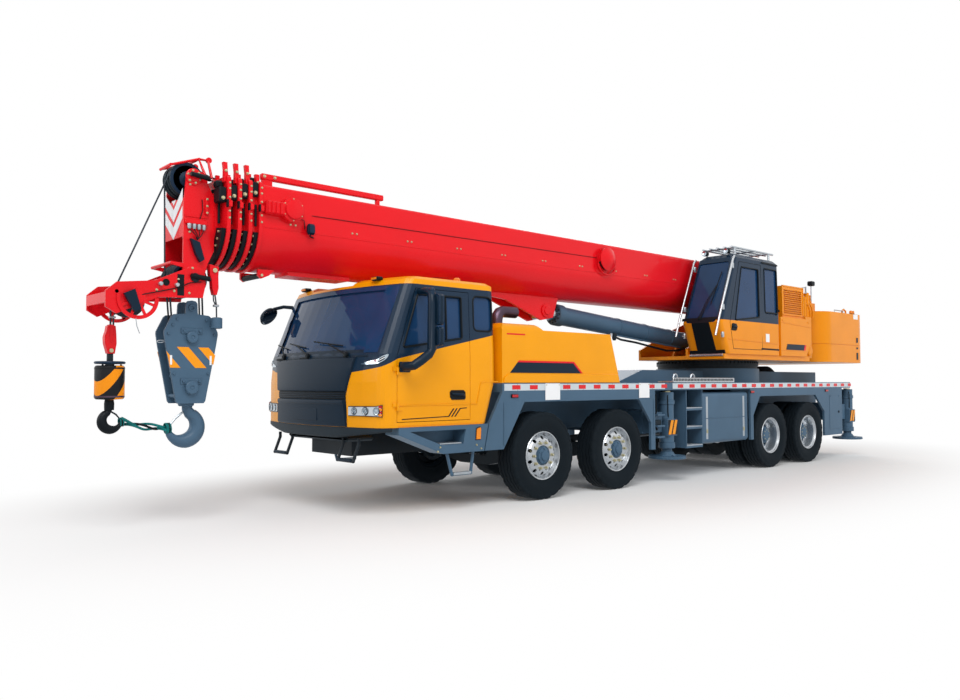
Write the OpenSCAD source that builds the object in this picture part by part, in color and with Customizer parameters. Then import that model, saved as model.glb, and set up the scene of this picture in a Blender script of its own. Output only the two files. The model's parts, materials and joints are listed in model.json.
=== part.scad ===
// Four axle truck crane with a five section telescopic boom.
// Lengths are in millimetres. X runs forward from axle 1, Y to the left and Z up from the ground,
// and place() then moves everything so that the origin is under the middle of the whole crane.

/* [Wheels and axles] */
// Outside diameter of a tyre
tyre_d = 1085; // [1060:1:1110]
// Width of a tyre
tyre_w = 300; // [280:1:310]
// Diameter of the rim's flange
rim_d = 610; // [590:1:640]
// Distance from axle 1 to axle 2
front_spread = 1450; // [1440:1:1520]
// Distance from axle 1 to axle 3
wheelbase = 5600; // [5560:1:5680]
// Distance from axle 3 to axle 4
rear_spread = 1350; // [1300:1:1400]
// Gap between the two tyres of a twin wheel
twin_gap = 40; // [30:1:60]
// Diameter of a wheel spindle
spindle_d = 90; // [70:1:110]
// Diameter of a kingpin
kingpin_d = 56; // [44:1:64]

/* [Carrier] */
// Width over tyres, deck and cabs
body_w = 2500; // [2480:1:2560]
// Height of the deck's top
deck_z = 1440; // [1430:1:1460]
// Height of the deck's edge strip
deck_h = 110; // [90:1:120]
// Width of the chassis frame
frame_w = 860; // [820:1:900]
// Thickness of the frame's walls
frame_t = 40; // [25:1:60]
// Height of the frame's underside
frame_z = 800; // [790:1:830]
// Thickness of a fender panel
fender_t = 40; // [25:1:60]
// Height of the top of the arches
arch_z = 1210; // [1190:1:1240]

/* [Outriggers] */
// Width of an outrigger beam
beam_w = 260; // [220:1:270]
// Height of an outrigger beam
beam_h = 290; // [260:1:320]
// Wall of the beam box
box_t = 20; // [12:1:30]
// Height of the beam box's underside
box_z = 700; // [680:1:720]
// Outside diameter of a jack's tube
jack_d = 210; // [190:1:230]
// Diameter of a jack's rod
jack_rod_d = 150; // [120:1:170]
// Diameter of a jack's foot
foot_d = 540; // [480:1:560]
// Height of a foot's underside when the jack is in
foot_z = 330; // [310:1:350]

/* [Driver cab] */
// Front of the cab on the centreline
cab_front_x = 2620; // [2580:1:2660]
// Rear of the cab
cab_rear_x = 780; // [775:1:820]
// Height of the cab's underside
cab_z = 970; // [960:1:990]
// Height of the foot of the windscreen
belt_z = 1750; // [1720:1:1780]
// Height of the joint between cab and roof panel
roof_z = 2520; // [2500:1:2540]
// Thickness of the cab's walls and doors
cab_t = 60; // [45:1:70]
// Gap round a door
door_gap = 6; // [5:1:9]

/* [Engine] */
// Height of the engine cover
cover_h = 720; // [700:1:730]
// Thickness of the engine cover's sheet
cover_t = 30; // [20:1:40]

/* [Superstructure] */
// Outside diameter of the slewing ring
slew_d = 1740; // [1700:1:1780]
// Height of the slewing ring's top
slew_z = 1820; // [1815:1:1830]
// Height of the slewing ring
slew_h = 140; // [120:1:150]
// Distance over the two boom plates
plates_w = 1000; // [980:1:1040]
// Thickness of a boom plate
plate_t = 40; // [30:1:50]
// Height of the operator's cab
op_cab_h = 1640; // [1600:1:1660]
// Thickness of the operator's cab wall
op_cab_t = 45; // [35:1:55]
// Height of the counterweight
weight_h = 960; // [900:1:1000]
// Distance from the slewing centre to the tail of the counterweight
tail_r = 3900; // [3850:1:3940]

/* [Boom] */
// Width of the base section
boom_w = 840; // [820:1:850]
// Height of the base section
boom_h = 880; // [860:1:900]
// Height of the underside of the base section
boom_z = 2650; // [2645:1:2680]
// Step in from each section to the next, on each side
boom_step = 35; // [30:1:38]
// Thickness of a boom section's wall
boom_t = 12; // [8:1:16]
// Distance between the collars of two sections
collar_pitch = 117; // [110:1:125]
// Diameter of the boom foot pin
foot_pin_d = 160; // [130:1:180]
// Outside diameter of the luffing cylinder
luff_d = 280; // [240:1:290]
// Diameter of the luffing rod
luff_rod_d = 190; // [150:1:200]

/* [Boom head and hooks] */
// Radius of a head sheave
sheave_r = 180; // [160:1:185]
// Width over the boom head's plates
head_w = 510; // [490:1:520]
// Diameter of the hoist rope
rope_d = 20; // [16:1:24]
// Thickness of the main hook where it is thickest
hook_d = 105; // [90:1:115]

/* [Hidden] */
$fn = 64;

// Clearance of a running fit, and of glass in its frame
run = 0.3;
half_w = body_w / 2;
deck_under = deck_z - deck_h;
axle_z = tyre_d / 2;
axle_2 = -front_spread;
axle_3 = -wheelbase;
axle_4 = -wheelbase - rear_spread;
tyre_y = half_w - tyre_w / 2;
twin_y = half_w - tyre_w - twin_gap / 2;
frame_y = frame_w / 2;
kingpin_y = tyre_y - 240;

// Deck and fenders: where the deck starts and ends, and the corners of the wheel arches
deck_front_x = cab_rear_x - 60;
deck_rear_x = axle_4 - 1710;
fender_z = 660;
skirt_z = 450;
fender_end_x = axle_2 - 840;
rear_fender_x = axle_3 + 690;
skirt_end_x = axle_4 - 1340;

// Outrigger boxes: two cells side by side, the right beam in the front cell
cell_w = beam_w + 2 * run;
cell_h = beam_h + 2 * run;
box_l = 2 * cell_w + 3 * box_t;
box_y = half_w - jack_d - 40;
front_box_x = fender_end_x - 20;
rear_box_x = skirt_end_x - 60;
function cell_x(box_x, k) = box_x - box_t - cell_w / 2 - k * (cell_w + box_t);
jack_y = half_w - jack_d / 2 - 20;
jack_top = deck_under - 30;
jack_bottom = 480;
foot_t = 40;
frame_rear_x = rear_box_x - box_l;

// Frame: the low front under the cab, the flat under the engine and the raised rear
frame_front_x = cab_front_x - 340;
frame_top = slew_z - slew_h - 40;
ramp_x = axle_2 - 1000;
ramp_l = 650;
slew_x = axle_3;
pedestal_d = slew_d + 60;
spare_x = axle_4 - 600;
spare_z = slew_z - 65 - axle_z;

// Superstructure and boom pivots, as distances from the slewing centre
plate_y = plates_w / 2;
upper_z = slew_z + run;
base_t = 60;
platform_z = upper_z + 80;
pivot_x = slew_x - 1900;
pivot_z = boom_z + 250;
luff_base = [slew_x + 500, slew_z + 330];
luff_eye = [slew_x + 4400, boom_z - 170];
luff_len = norm(luff_eye - luff_base);
luff_tilt = atan2(luff_eye[1] - luff_base[1], luff_eye[0] - luff_base[0]);
luff_pin_d = 120;
weight_rear_x = slew_x - tail_r;
weight_front_x = slew_x - 1900;

// Boom: tails, fronts and the head
boom_rear_x = pivot_x + 350;
boom_front_x = cab_front_x + 810;
head_x = boom_front_x + 3 * collar_pitch + 60;
lower_sheave = [head_x + sheave_r + 20, boom_z - 150];
upper_sheave = [head_x + 215, boom_z + boom_h - 10];
jib_sheave_r = sheave_r - 20;
jib_sheave = [lower_sheave[0] + 560, lower_sheave[1] - 250];
nose_x = jib_sheave[0] + jib_sheave_r + 130;
block_x = lower_sheave[0] - 40;
mid_x = (nose_x + weight_rear_x) / 2;

carrier_blue = "#4B6272";
cab_yellow = "#F0A000";
upper_orange = "#E08A14";
boom_red = "#E2121A";
dark = "#222B33";
steel = "#9AA3A8";
glass_grey = "#3A444C";

module place() translate([-mid_x, 0, 0]) children();

module mirrored() mirror([0, 1, 0]) children();

module both_sides() {
    children();
    mirrored() children();
}

// A flat outline in X and Z, drawn out from y0 to y1
module slab(y0, y1) translate([0, y1, 0]) rotate([90, 0, 0]) linear_extrude(y1 - y0) children();

// A flat outline in Y and Z, drawn out from x0 to x1
module rib(x0, x1) translate([x0, 0, 0]) rotate([90, 0, 90]) linear_extrude(x1 - x0) children();

// A round bar along Y through a point of the X and Z plane
module pin(p, d, y0, y1) translate([p[0], y1, p[1]]) rotate([90, 0, 0]) cylinder(d = d, h = y1 - y0);

module box(x0, x1, y0, y1, z0, z1) translate([x0, y0, z0]) cube([x1 - x0, y1 - y0, z1 - z0]);

module bar(a, b, d) {
    v = b - a;
    translate(a) rotate([0, acos(v[2] / norm(v)), atan2(v[1], v[0])]) cylinder(d = d, h = norm(v));
}

// Straight tubes through a list of points, with round elbows
module tube_path(points, d) {
    for (i = [1 : len(points) - 1]) bar(points[i - 1], points[i], d);
    for (i = [1 : len(points) - 2]) translate(points[i]) sphere(d = d + 3);
}

module round_rect(w, h, r) {
    translate([-w / 2 + r, -h / 2]) square([w - 2 * r, h]);
    translate([-w / 2, -h / 2 + r]) square([w, h - 2 * r]);
    for (x = [-1, 1], y = [-1, 1]) translate([x * (w / 2 - r), y * (h / 2 - r)]) circle(r = r);
}

module beam_box(box_x) box(box_x - box_l, box_x, -box_y, box_y, box_z, box_z + cell_h + 2 * box_t);

module beam_cells(box_x) for (k = [0, 1])
    translate([cell_x(box_x, k), 0, box_z + box_t + cell_h / 2]) cube([cell_w, body_w, cell_h],
        center = true);

module frame_outline() polygon([
    [frame_front_x, 620], [frame_front_x, cab_z], [deck_front_x + 40, cab_z], [deck_front_x, deck_z],
    [ramp_x, deck_z], [ramp_x - ramp_l, frame_top], [frame_rear_x, frame_top], [frame_rear_x, frame_z],
    [deck_front_x + 60, frame_z], [deck_front_x + 200, 620]]);

module frame_bay(x0, x1, top) box(x1, x0, -frame_y + frame_t, frame_y - frame_t, frame_z - 1,
    top - frame_t);

module chassis_frame() color(carrier_blue) place() difference() {
    union() {
        slab(-frame_y, frame_y) frame_outline();
        beam_box(front_box_x);
        beam_box(rear_box_x);
        translate([slew_x, 0, deck_z]) cylinder(d = pedestal_d, h = slew_z - slew_h - deck_z);
    }
    frame_bay(deck_front_x - frame_t, axle_2 / 2 + frame_t, deck_z);
    frame_bay(axle_2 / 2 - frame_t, front_box_x + frame_t, deck_z);
    frame_bay(front_box_x - box_l - frame_t, -wheelbase * 0.7, deck_z);
    frame_bay(-wheelbase * 0.7 - frame_t, axle_3 - frame_t, frame_top);
    frame_bay(axle_3 - 2 * frame_t, axle_4, frame_top);
    frame_bay(axle_4 - frame_t, rear_box_x + frame_t, frame_top);
    beam_cells(front_box_x);
    beam_cells(rear_box_x);
    translate([slew_x, 0, frame_top - frame_t]) cylinder(d = frame_w - 4 * frame_t, h = slew_h);
    box(spare_x - tyre_d / 2 - 20, spare_x + tyre_d / 2 + 20, -tyre_w / 2, tyre_w / 2, frame_z, slew_z);
}

module front_fender() polygon([
    [deck_front_x, deck_under], [deck_front_x + 210, cab_z], [deck_front_x + 280, fender_z],
    [deck_front_x - 20, fender_z], [350, arch_z], [axle_2 - 470, arch_z], [axle_2 - 740, 880],
    [axle_2 - 740, 490], [fender_end_x, 490], [fender_end_x, deck_under]]);

module rear_fender() polygon([
    [rear_fender_x, deck_under], [rear_fender_x, 500], [rear_fender_x - 90, 500], [rear_fender_x - 90, 900],
    [rear_fender_x - 310, arch_z], [axle_4 - 250, arch_z], [axle_4 - 600, 900], [axle_4 - 600, skirt_z],
    [skirt_end_x, skirt_z], [skirt_end_x, deck_under]]);

module deck() color(carrier_blue) place() both_sides() {
    difference() {
        box(deck_rear_x, deck_front_x, frame_y, half_w, deck_under, deck_z);
        box(deck_rear_x + fender_t, deck_front_x - fender_t, frame_y - 1, half_w - fender_t,
            deck_under - 1, deck_z - 20);
    }
    slab(half_w - fender_t, half_w) front_fender();
    slab(half_w - fender_t, half_w) rear_fender();
    for (x = [front_box_x - box_l / 2, -wheelbase * 0.7, axle_3, axle_4])
        box(x - 10, x + 10, frame_y, half_w - fender_t, deck_under, deck_z - 20);
}

module tank_outline(w, h) round_rect(w, h, 60);

// Fuel tank on the left, oil tank on the right, against the frame
module side_tanks() color(carrier_blue) place() both_sides() {
    tank_w = half_w - 20 - frame_y;
    rib(rear_fender_x + 70, front_box_x - box_l - 640) translate([frame_y + tank_w / 2,
        (500 + deck_under - 40) / 2])
        tank_outline(tank_w, deck_under - 540);
    for (x = [rear_fender_x + 250, front_box_x - box_l - 900])
        box(x - 30, x + 30, frame_y, half_w - 200, deck_under - 60, deck_under);
}

// How far the cab's sides lean in at the roof
side_lean = 35;

// Driver cab: levels from the floor to the roof joint, as height, rear, front and half width
cab_levels = [
    [cab_z, cab_rear_x + 150, cab_front_x, half_w],
    [cab_z + 480, cab_rear_x, cab_front_x, half_w],
    [belt_z, cab_rear_x, cab_front_x - 30, half_w],
    [roof_z, cab_rear_x, cab_front_x - 345, half_w - side_lean]];
cab_bow_r = 3880;
cab_corner_r = 140;
floor_t = 60;
glass_t = 10;
glass_in = 20;
slice_t = 1;
door_rear_x = cab_rear_x + 450;
door_front_x = cab_front_x - 370;
door_sill_z = cab_z + floor_t;
door_top_z = roof_z - 50;
// Hinge axis of the left door, and its two hinges as lower end and height of one knuckle
hinge_x = door_front_x + door_gap / 2;
hinge_y = half_w + 12;
hinge_d = 24;
hinge_zs = [cab_z + 180, cab_z + 560];
hinge_h = 40;
roof_top = boom_z - 40;
mask_t = 25;

// Points on an arc, with or without its two ends
function arc(c, r, a0, a1, n, skip = 0) = [
    for (i = [skip : n - skip]) let (a = a0 + (a1 - a0) * i / n) c + r * [cos(a), sin(a)]];

// Plan at one level, grown by g all round: a bowed front and round corners
module cab_plan(level, g) {
    r = cab_corner_r + g;
    y = level[3] - cab_corner_r;
    bow_x = level[2] - cab_bow_r;
    bow_a = asin(y / (cab_bow_r - cab_corner_r));
    front = bow_x + (cab_bow_r - cab_corner_r) * cos(bow_a);
    rear = level[1] + cab_corner_r;
    polygon(concat(
        arc([rear, y], r, 180, 90, 5), arc([front, y], r, 90, bow_a, 4),
        arc([bow_x, 0], cab_bow_r + g, bow_a, -bow_a, 12, 1),
        arc([front, -y], r, -bow_a, -90, 4), arc([rear, -y], r, -90, -180, 5)));
}

module cab_slice(level, grow) translate([0, 0, level[0]]) linear_extrude(slice_t) cab_plan(level, grow);

// The levels lie on one convex body; "over" makes it longer at both ends, for cutting
module cab_body(grow, over = 0) hull() {
    cab_slice(cab_levels[0] - [over, 0, 0, 0], grow);
    cab_slice(cab_levels[1], grow);
    cab_slice(cab_levels[2], grow);
    cab_slice(cab_levels[3] + [over - slice_t, 0, 0, 0], grow);
}

module cab_skin(outer, inner) difference() {
    cab_body(outer);
    cab_body(inner, 5);
}

module door_outline(g) polygon([
    [door_rear_x - g, door_sill_z - g], [door_front_x + g, door_sill_z - g], [door_front_x + g,
        belt_z - 20 + g],
    [door_front_x - 270 + g, door_top_z + g], [door_rear_x - g, door_top_z + g]]);

module door_window() polygon([
    [door_rear_x + 120, belt_z + 200], [door_front_x - 90, belt_z + 80],
    [door_front_x - 300, door_top_z - 70], [door_rear_x + 120, door_top_z - 70]]);

module quarter_window() translate([cab_rear_x + 235, roof_z - 280]) round_rect(290, 400, 60);

module side_cut() slab(half_w - 200, half_w + 100) children();

module windscreen() rib(cab_front_x - 700, cab_front_x + 100) polygon([
    [-1060, belt_z + 40], [1060, belt_z + 40], [1000, roof_z - 50], [-1000, roof_z - 50]]);

module rear_window() rib(cab_rear_x - 50, cab_rear_x + 150) translate([0,
    roof_z - 230]) round_rect(1300, 300, 60);

// Half of a door hinge: a knuckle on the axis and a leaf that reaches by dx onto the skin
module hinge_half(z, dx) {
    translate([hinge_x, hinge_y, z]) cylinder(d = hinge_d, h = hinge_h);
    box(min(hinge_x, hinge_x + dx), max(hinge_x, hinge_x + dx), half_w - 8, hinge_y, z, z + hinge_h);
}

module cab_shell() color(cab_yellow) place() {
    difference() {
        cab_body(0);
        intersection() {
            cab_body(-cab_t, 5);
            box(cab_rear_x, cab_front_x, -half_w, half_w, door_sill_z, roof_z + 10);
        }
        both_sides() side_cut() door_outline(door_gap);
        both_sides() side_cut() quarter_window();
        windscreen();
        rear_window();
    }
    both_sides() for (z = hinge_zs) hinge_half(z + hinge_h + run, 60);
}

module door() color(cab_yellow) difference() {
    intersection() {
        cab_skin(0, -cab_t);
        side_cut() door_outline(0);
    }
    side_cut() door_window();
}

// Two mirror heads on a bent arm that starts and ends on the door
mirror_y = half_w + 200;
mirror_x = door_front_x - 310;
mirror_top = roof_z - 20;
mirror_bottom = belt_z + 20;

module door_mirror() color(dark) {
    tube_path([[door_front_x - 60, half_w - 35, belt_z - 130], [door_front_x - 70, mirror_y, belt_z - 130],
        [mirror_x, mirror_y, mirror_bottom], [mirror_x, mirror_y, mirror_top - 65],
        [mirror_x, half_w - 60, mirror_top - 65]], 50);
    for (z = [[mirror_bottom + 70, mirror_bottom + 270], [mirror_bottom + 290, mirror_top - 110]])
        translate([mirror_x - 60, mirror_y, (z[0] + z[1]) / 2]) rotate([0, -90, 0])
            linear_extrude(70, center = true) round_rect(z[1] - z[0], 180, 40);
}

module cab_door() {
    door();
    color(cab_yellow) for (z = hinge_zs) hinge_half(z, -60);
    door_mirror();
}

module door_left() place() cab_door();
module door_right() place() mirrored() cab_door();

// Panes that lean in with the sides, set back by glass_in
module side_pane() rib(cab_rear_x, cab_front_x) polygon([for (p = [
    [belt_z, 0], [roof_z, side_lean], [roof_z, side_lean + glass_t], [belt_z,
        glass_t]]) [half_w - glass_in - p[1], p[0]]]);

module door_pane() color(glass_grey) intersection() {
    side_pane();
    side_cut() door_window();
}

module door_glass_left() place() door_pane();
module door_glass_right() place() mirrored() door_pane();

module cab_glass() color(glass_grey) place() {
    difference() {
        intersection() {
            translate([-glass_in, 0, 0]) cab_body(0);
            windscreen();
        }
        translate([-glass_in - glass_t, 0, 0]) cab_body(0);
    }
    intersection() {
        box(cab_rear_x + glass_in, cab_rear_x + glass_in + glass_t, -half_w, half_w, belt_z, roof_z);
        rear_window();
    }
    both_sides() intersection() {
        side_pane();
        side_cut() quarter_window();
    }
}

// Roof panel with a trough for the boom
module cab_roof() color(cab_yellow) place() difference() {
    hull() {
        cab_slice(cab_levels[3], 0);
        cab_slice([roof_top - 35, cab_rear_x, cab_front_x - 375, half_w - 40], 0);
        cab_slice([roof_top - slice_t, cab_rear_x + 40, cab_front_x - 450, half_w - 90], 0);
    }
    rib(0, cab_front_x) polygon([
        [-570, roof_top + 1], [-510, roof_top - 60], [380, roof_top - 60], [440, roof_top + 1]]);
}

// Black mask and bumper
bumper_z = cab_z - 120;

module cab_front() color(dark) place() {
    intersection() {
        cab_skin(mask_t, run);
        box(cab_front_x - 400, cab_front_x + 100, -900, 900, cab_z + run, belt_z - 30);
    }
    translate([0, 0, bumper_z]) linear_extrude(cab_z - run - bumper_z) intersection() {
        cab_plan(cab_levels[0], 0);
        translate([frame_front_x, -half_w]) square([800, body_w]);
    }
}

module lamps() color("white") place() {
    both_sides() intersection() {
        cab_skin(mask_t - 5, run);
        box(cab_front_x - 290, cab_front_x + 100, 920, half_w + 30, cab_z + 110, cab_z + 240);
    }
    both_sides() box(deck_rear_x - 40, deck_rear_x, 700, 1150, deck_under + 10, deck_z - 10);
}

// Two seats, the dashboard and the steering wheel
module seat(x, y, z, w = 500) translate([x, y, z]) {
    translate([-200, -0.36 * w, 0]) cube([400, 0.72 * w, 260]);
    translate([-250, -w / 2, 260]) cube([520, w, 140]);
    translate([-250, 0, 400]) rotate([0, -8, 0]) slab(-0.48 * w, 0.48 * w) polygon([[0, -40], [140,
        -40], [110, 620], [20, 620]]);
}

module cab_interior() color(dark) place() {
    both_sides() seat(cab_rear_x + 500, 640, door_sill_z);
    rib(cab_front_x - 500, cab_front_x - 330) translate([0, (door_sill_z + belt_z) / 2])
        square([1900, belt_z - door_sill_z], center = true);
    bar([cab_front_x - 480, 640, belt_z - 222], [cab_front_x - 700, 640, belt_z - 60], 60);
    translate([cab_front_x - 700, 640, belt_z - 60]) rotate([0, -54, 0]) {
        rotate_extrude() translate([210, 0]) circle(d = 34);
        for (a = [0 : 120 : 240]) rotate([0, 90, a]) cylinder(d = 24, h = 210);
    }
}

// Sills with a foot hole under the doors, hoop steps, and the ladder behind the front outrigger
sill_z = 660;
ladder_x = front_box_x - box_l - 200;

module sill_outline() polygon([
    [cab_rear_x + 165, cab_z], [door_front_x - 20, cab_z], [door_front_x - 20, cab_z - 80],
    [door_rear_x + 390, sill_z], [cab_rear_x + 235, sill_z]]);

module sill_hole() polygon([
    [door_rear_x + 60, cab_z - 50], [door_front_x - 170, cab_z - 50],
    [door_rear_x + 420, sill_z + 100], [door_rear_x + 100, sill_z + 100]]);

module cab_steps() color(carrier_blue) place() both_sides() {
    difference() {
        slab(half_w - 240, half_w) sill_outline();
        slab(half_w - 200, half_w + 1) sill_hole();
    }
    tube_path([[door_rear_x + 300, half_w - 60, sill_z + 20], [door_rear_x + 220, half_w - 60, 415],
        [door_rear_x - 60, half_w - 60, 415], [door_rear_x - 100, half_w - 60, sill_z + 20]], 36);
    tube_path([[cab_front_x - 150, 560, bumper_z], [cab_front_x - 150, 560, bumper_z - 60],
        [cab_front_x - 80, 560, 610], [cab_front_x - 80, 860, 610],
        [cab_front_x - 150, 860, bumper_z - 60], [cab_front_x - 150, 860, bumper_z]], 36);
    for (x = [ladder_x, ladder_x - 420]) box(x - 15, x, half_w - 260, half_w - 20, 460, deck_under);
    for (z = [460, 740, 1020]) box(ladder_x - 435, ladder_x, half_w - 260, half_w - 20, z, z + 30);
}

// Engine cover over the engine, stepped down behind its front part, with the exhaust elbow
cover_front_x = deck_front_x;
cover_rear_x = slew_x + tail_r + 200;
cover_top = deck_z + cover_h;
cover_step_x = cover_front_x - 610;
cover_step = 70;
exhaust_d = 140;
exhaust_r = 120;

// The outline, drawn in by g all round
module cover_outline(g) polygon([
    [cover_front_x - g, deck_z - 2 * g], [cover_front_x - g, cover_top - 60 - g / 2],
        [cover_front_x - 60 - g / 2, cover_top - g],
    [cover_step_x + g / 3, cover_top - g], [cover_step_x - 100 + g / 3, cover_top - cover_step - g],
    [cover_rear_x + 200 + g, cover_top - cover_step - g], [cover_rear_x + g - g / 2, deck_z - 2 * g]]);

module cover_section(g) intersection() {
    slab(-half_w, half_w) cover_outline(g);
    rib(cover_rear_x - 10, cover_front_x + 10) translate([0, deck_z])
        round_rect(body_w - 10 - 2 * g, 2 * cover_h - 2 * g, 90);
}

module engine_cover() color(cab_yellow) place() {
    difference() {
        cover_section(0);
        cover_section(cover_t);
    }
    translate([cover_step_x + 260, 780, cover_top]) {
        cylinder(d = exhaust_d, h = 60);
        translate([-exhaust_r, 0, 60]) rotate([90, 0,
            0]) rotate_extrude(angle = 90) translate([exhaust_r, 0]) circle(d = exhaust_d);
        translate([-exhaust_r, 0, 60 + exhaust_r]) rotate([0, -90, 0]) cylinder(d = exhaust_d, h = 200);
    }
}

gearbox_x = axle_2 + 150;
shaft_z = axle_z + 60;

// The engine stands behind its radiator, at the front of the cover
engine_l = 950;
radiator_room = 100;

module engine() color(dark) place() {
    x = cover_front_x - radiator_room;
    box(x - engine_l, x, -380, 380, deck_z, deck_z + 500);
    box(gearbox_x, gearbox_x + 500, -200, 200, shaft_z - 60, deck_z - frame_t);
}

// Axles, springs, knuckles and wheels
boss_h = 156;
spring_y = frame_y - 90;
drive_spindle_d = spindle_d + 30;
hub_in = 115;

module leaf_pack(x, z_end, z_mid) slab(spring_y, frame_y) polygon([
    [x - 640, frame_z], [x - 560, frame_z], [x - 560, z_end], [x - 250, z_mid + 25], [x, z_mid + 15],
    [x + 250, z_mid + 25], [x + 560, z_end], [x + 560, frame_z], [x + 640, frame_z], [x + 640, z_end - 40],
    [x + 250, z_mid - 45], [x + 60, z_mid - 60], [x + 60, axle_z], [x - 60, axle_z], [x - 60, z_mid - 60],
    [x - 250, z_mid - 45], [x - 640, z_end - 40]]);

module front_axle(x) {
    rib(x - 60, x + 60) polygon([
        [-kingpin_y, axle_z + 60], [-kingpin_y, axle_z - 60], [-spring_y + 60, axle_z - 180],
        [spring_y - 60, axle_z - 180], [kingpin_y, axle_z - 60], [kingpin_y, axle_z + 60],
        [spring_y - 20, axle_z + 60], [spring_y - 120, axle_z - 60], [-spring_y + 120, axle_z - 60],
        [-spring_y + 20, axle_z + 60]]);
    both_sides() translate([x, kingpin_y, axle_z]) {
        cylinder(d = boss_h - 20, h = boss_h, center = true);
        cylinder(d = kingpin_d, h = 2 * boss_h, center = true);
    }
    both_sides() leaf_pack(x, frame_z - 40, axle_z + 130);
}

module front_axles() color(dark) place() for (x = [0, axle_2]) front_axle(x);

module drive_axle(x) translate([x, 0, axle_z]) {
    sphere(r = 215);
    pin([0, 0], 200, -twin_y + tyre_w, twin_y - tyre_w);
    pin([0, 0], drive_spindle_d, -twin_y - 50, twin_y + 50);
}

bogie_x = (axle_3 + axle_4) / 2;

module drive_axles() color(dark) place() {
    drive_axle(axle_3);
    drive_axle(axle_4);
    both_sides() slab(spring_y, frame_y) polygon([
        [axle_3 + 70, axle_z], [axle_3 + 70, axle_z + 140], [bogie_x + 160, frame_z - 30],
            [bogie_x + 160, frame_z],
        [bogie_x - 160, frame_z], [bogie_x - 160, frame_z - 30], [axle_4 - 70, axle_z + 140],
            [axle_4 - 70, axle_z],
        [axle_4 + 70, axle_z], [axle_4 + 70, axle_z + 80], [bogie_x, frame_z - 100], [axle_3 - 70,
            axle_z + 80],
        [axle_3 - 70, axle_z]]);
    translate([gearbox_x, 0, shaft_z]) rotate([0, -90, 0]) cylinder(d = 90, h = gearbox_x - axle_3);
    translate([axle_3, 0, axle_z + 60]) rotate([0, -90, 0]) cylinder(d = 90, h = rear_spread);
}

// The fork turns on the kingpin and carries the spindle
module knuckle(x) color(dark) place() translate([x, kingpin_y, axle_z]) difference() {
    union() {
        for (s = [-1, 1]) translate([0, 0, s * (boss_h / 2 + 2 + 35)]) {
            cylinder(d = 120, h = 70, center = true);
            translate([-55, 0, -35]) cube([110, 95, 70]);
        }
        translate([-55, 75, -boss_h / 2 - 70]) cube([110, 20, boss_h + 140]);
        pin([0, 0], 400, 80, 100);
        pin([0, 0], spindle_d, 90, tyre_y - kingpin_y + 70);
    }
    cylinder(d = kingpin_d + 2 * run, h = 3 * boss_h, center = true);
}

module knuckle_1_left() knuckle(0);
module knuckle_1_right() mirrored() knuckle(0);
module knuckle_2_left() knuckle(axle_2);
module knuckle_2_right() mirrored() knuckle(axle_2);

// Wheel sections, as radius and distance along the axle, outwards from the middle of the wheel
tyre_r = tyre_d / 2;
rim_r = rim_d / 2;
barrel_r = rim_r - 45;

function tyre_section(mid) = let (e = tyre_w / 2) [
    [rim_r, mid - e + 20], [tyre_r - 190, mid - e], [tyre_r - 90, mid - e + 2], [tyre_r - 25, mid - e + 22],
    [tyre_r, mid - e + 50], [tyre_r, mid + e - 50], [tyre_r - 25, mid + e - 22], [tyre_r - 90, mid + e - 2],
    [tyre_r - 190, mid + e], [rim_r, mid + e - 20]];

function front_section(bore_r) = let (e = tyre_w / 2) concat(
    [[bore_r, -hub_in], [205, -hub_in], [205, -20], [150, -20], [150, 45], [barrel_r, 15], [barrel_r,
        -e + 25]],
    tyre_section(0),
    [[barrel_r, e - 25], [barrel_r, 45], [175, 75], [150, 75], [125, 110], [100, 135], [0, 135], [0,
        80], [bore_r, 80]]);

function twin_section(bore_r) = let (e = tyre_w + twin_gap / 2, m = (tyre_w + twin_gap) / 2) concat(
    [[bore_r, -e + 30], [150, -e + 30], [150, -25], [barrel_r, -25], [barrel_r, -e + 25]],
    tyre_section(-m), tyre_section(m),
    [[barrel_r, e - 25], [barrel_r, 70], [180, 30], [140, 40], [140, 150], [110, 185], [0, 185], [0,
        60], [bore_r, 60]]);

module turned(section) rotate([-90, 0, 0]) rotate_extrude() polygon(section);

module hand_holes(n, d, r) for (i = [1 : n]) rotate([0, i * 360 / n, 0]) pin([r, 0], d, -tyre_w / 2,
    tyre_w / 2);

module front_wheel(x) color(dark) place() translate([x, tyre_y, axle_z]) difference() {
    turned(front_section(spindle_d / 2 + run));
    hand_holes(10, 48, barrel_r - 42);
}

module twin_wheel(x) color(dark) place() translate([x, twin_y, axle_z]) difference() {
    turned(twin_section(drive_spindle_d / 2 + run));
    hand_holes(10, 56, barrel_r - 55);
}

module wheel_1_left() front_wheel(0);
module wheel_1_right() mirrored() front_wheel(0);
module wheel_2_left() front_wheel(axle_2);
module wheel_2_right() mirrored() front_wheel(axle_2);
module wheel_3_left() twin_wheel(axle_3);
module wheel_3_right() mirrored() twin_wheel(axle_3);
module wheel_4_left() twin_wheel(axle_4);
module wheel_4_right() mirrored() twin_wheel(axle_4);

// Spare wheel standing in the frame
module spare_wheel() color(dark) place() translate([spare_x, 0, spare_z]) difference() {
    turned(front_section(spindle_d / 2));
    hand_holes(10, 48, barrel_r - 42);
}

module slew_ring() color(dark) place() translate([slew_x, 0, slew_z - slew_h]) difference() {
    union() {
        cylinder(d = slew_d, h = slew_h);
        translate([0, 0, slew_h / 2 - 20]) cylinder(d = slew_d + 40, h = 40);
    }
    translate([0, 0, -1]) cylinder(d = slew_d - 320, h = slew_h + 2);
}

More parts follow.
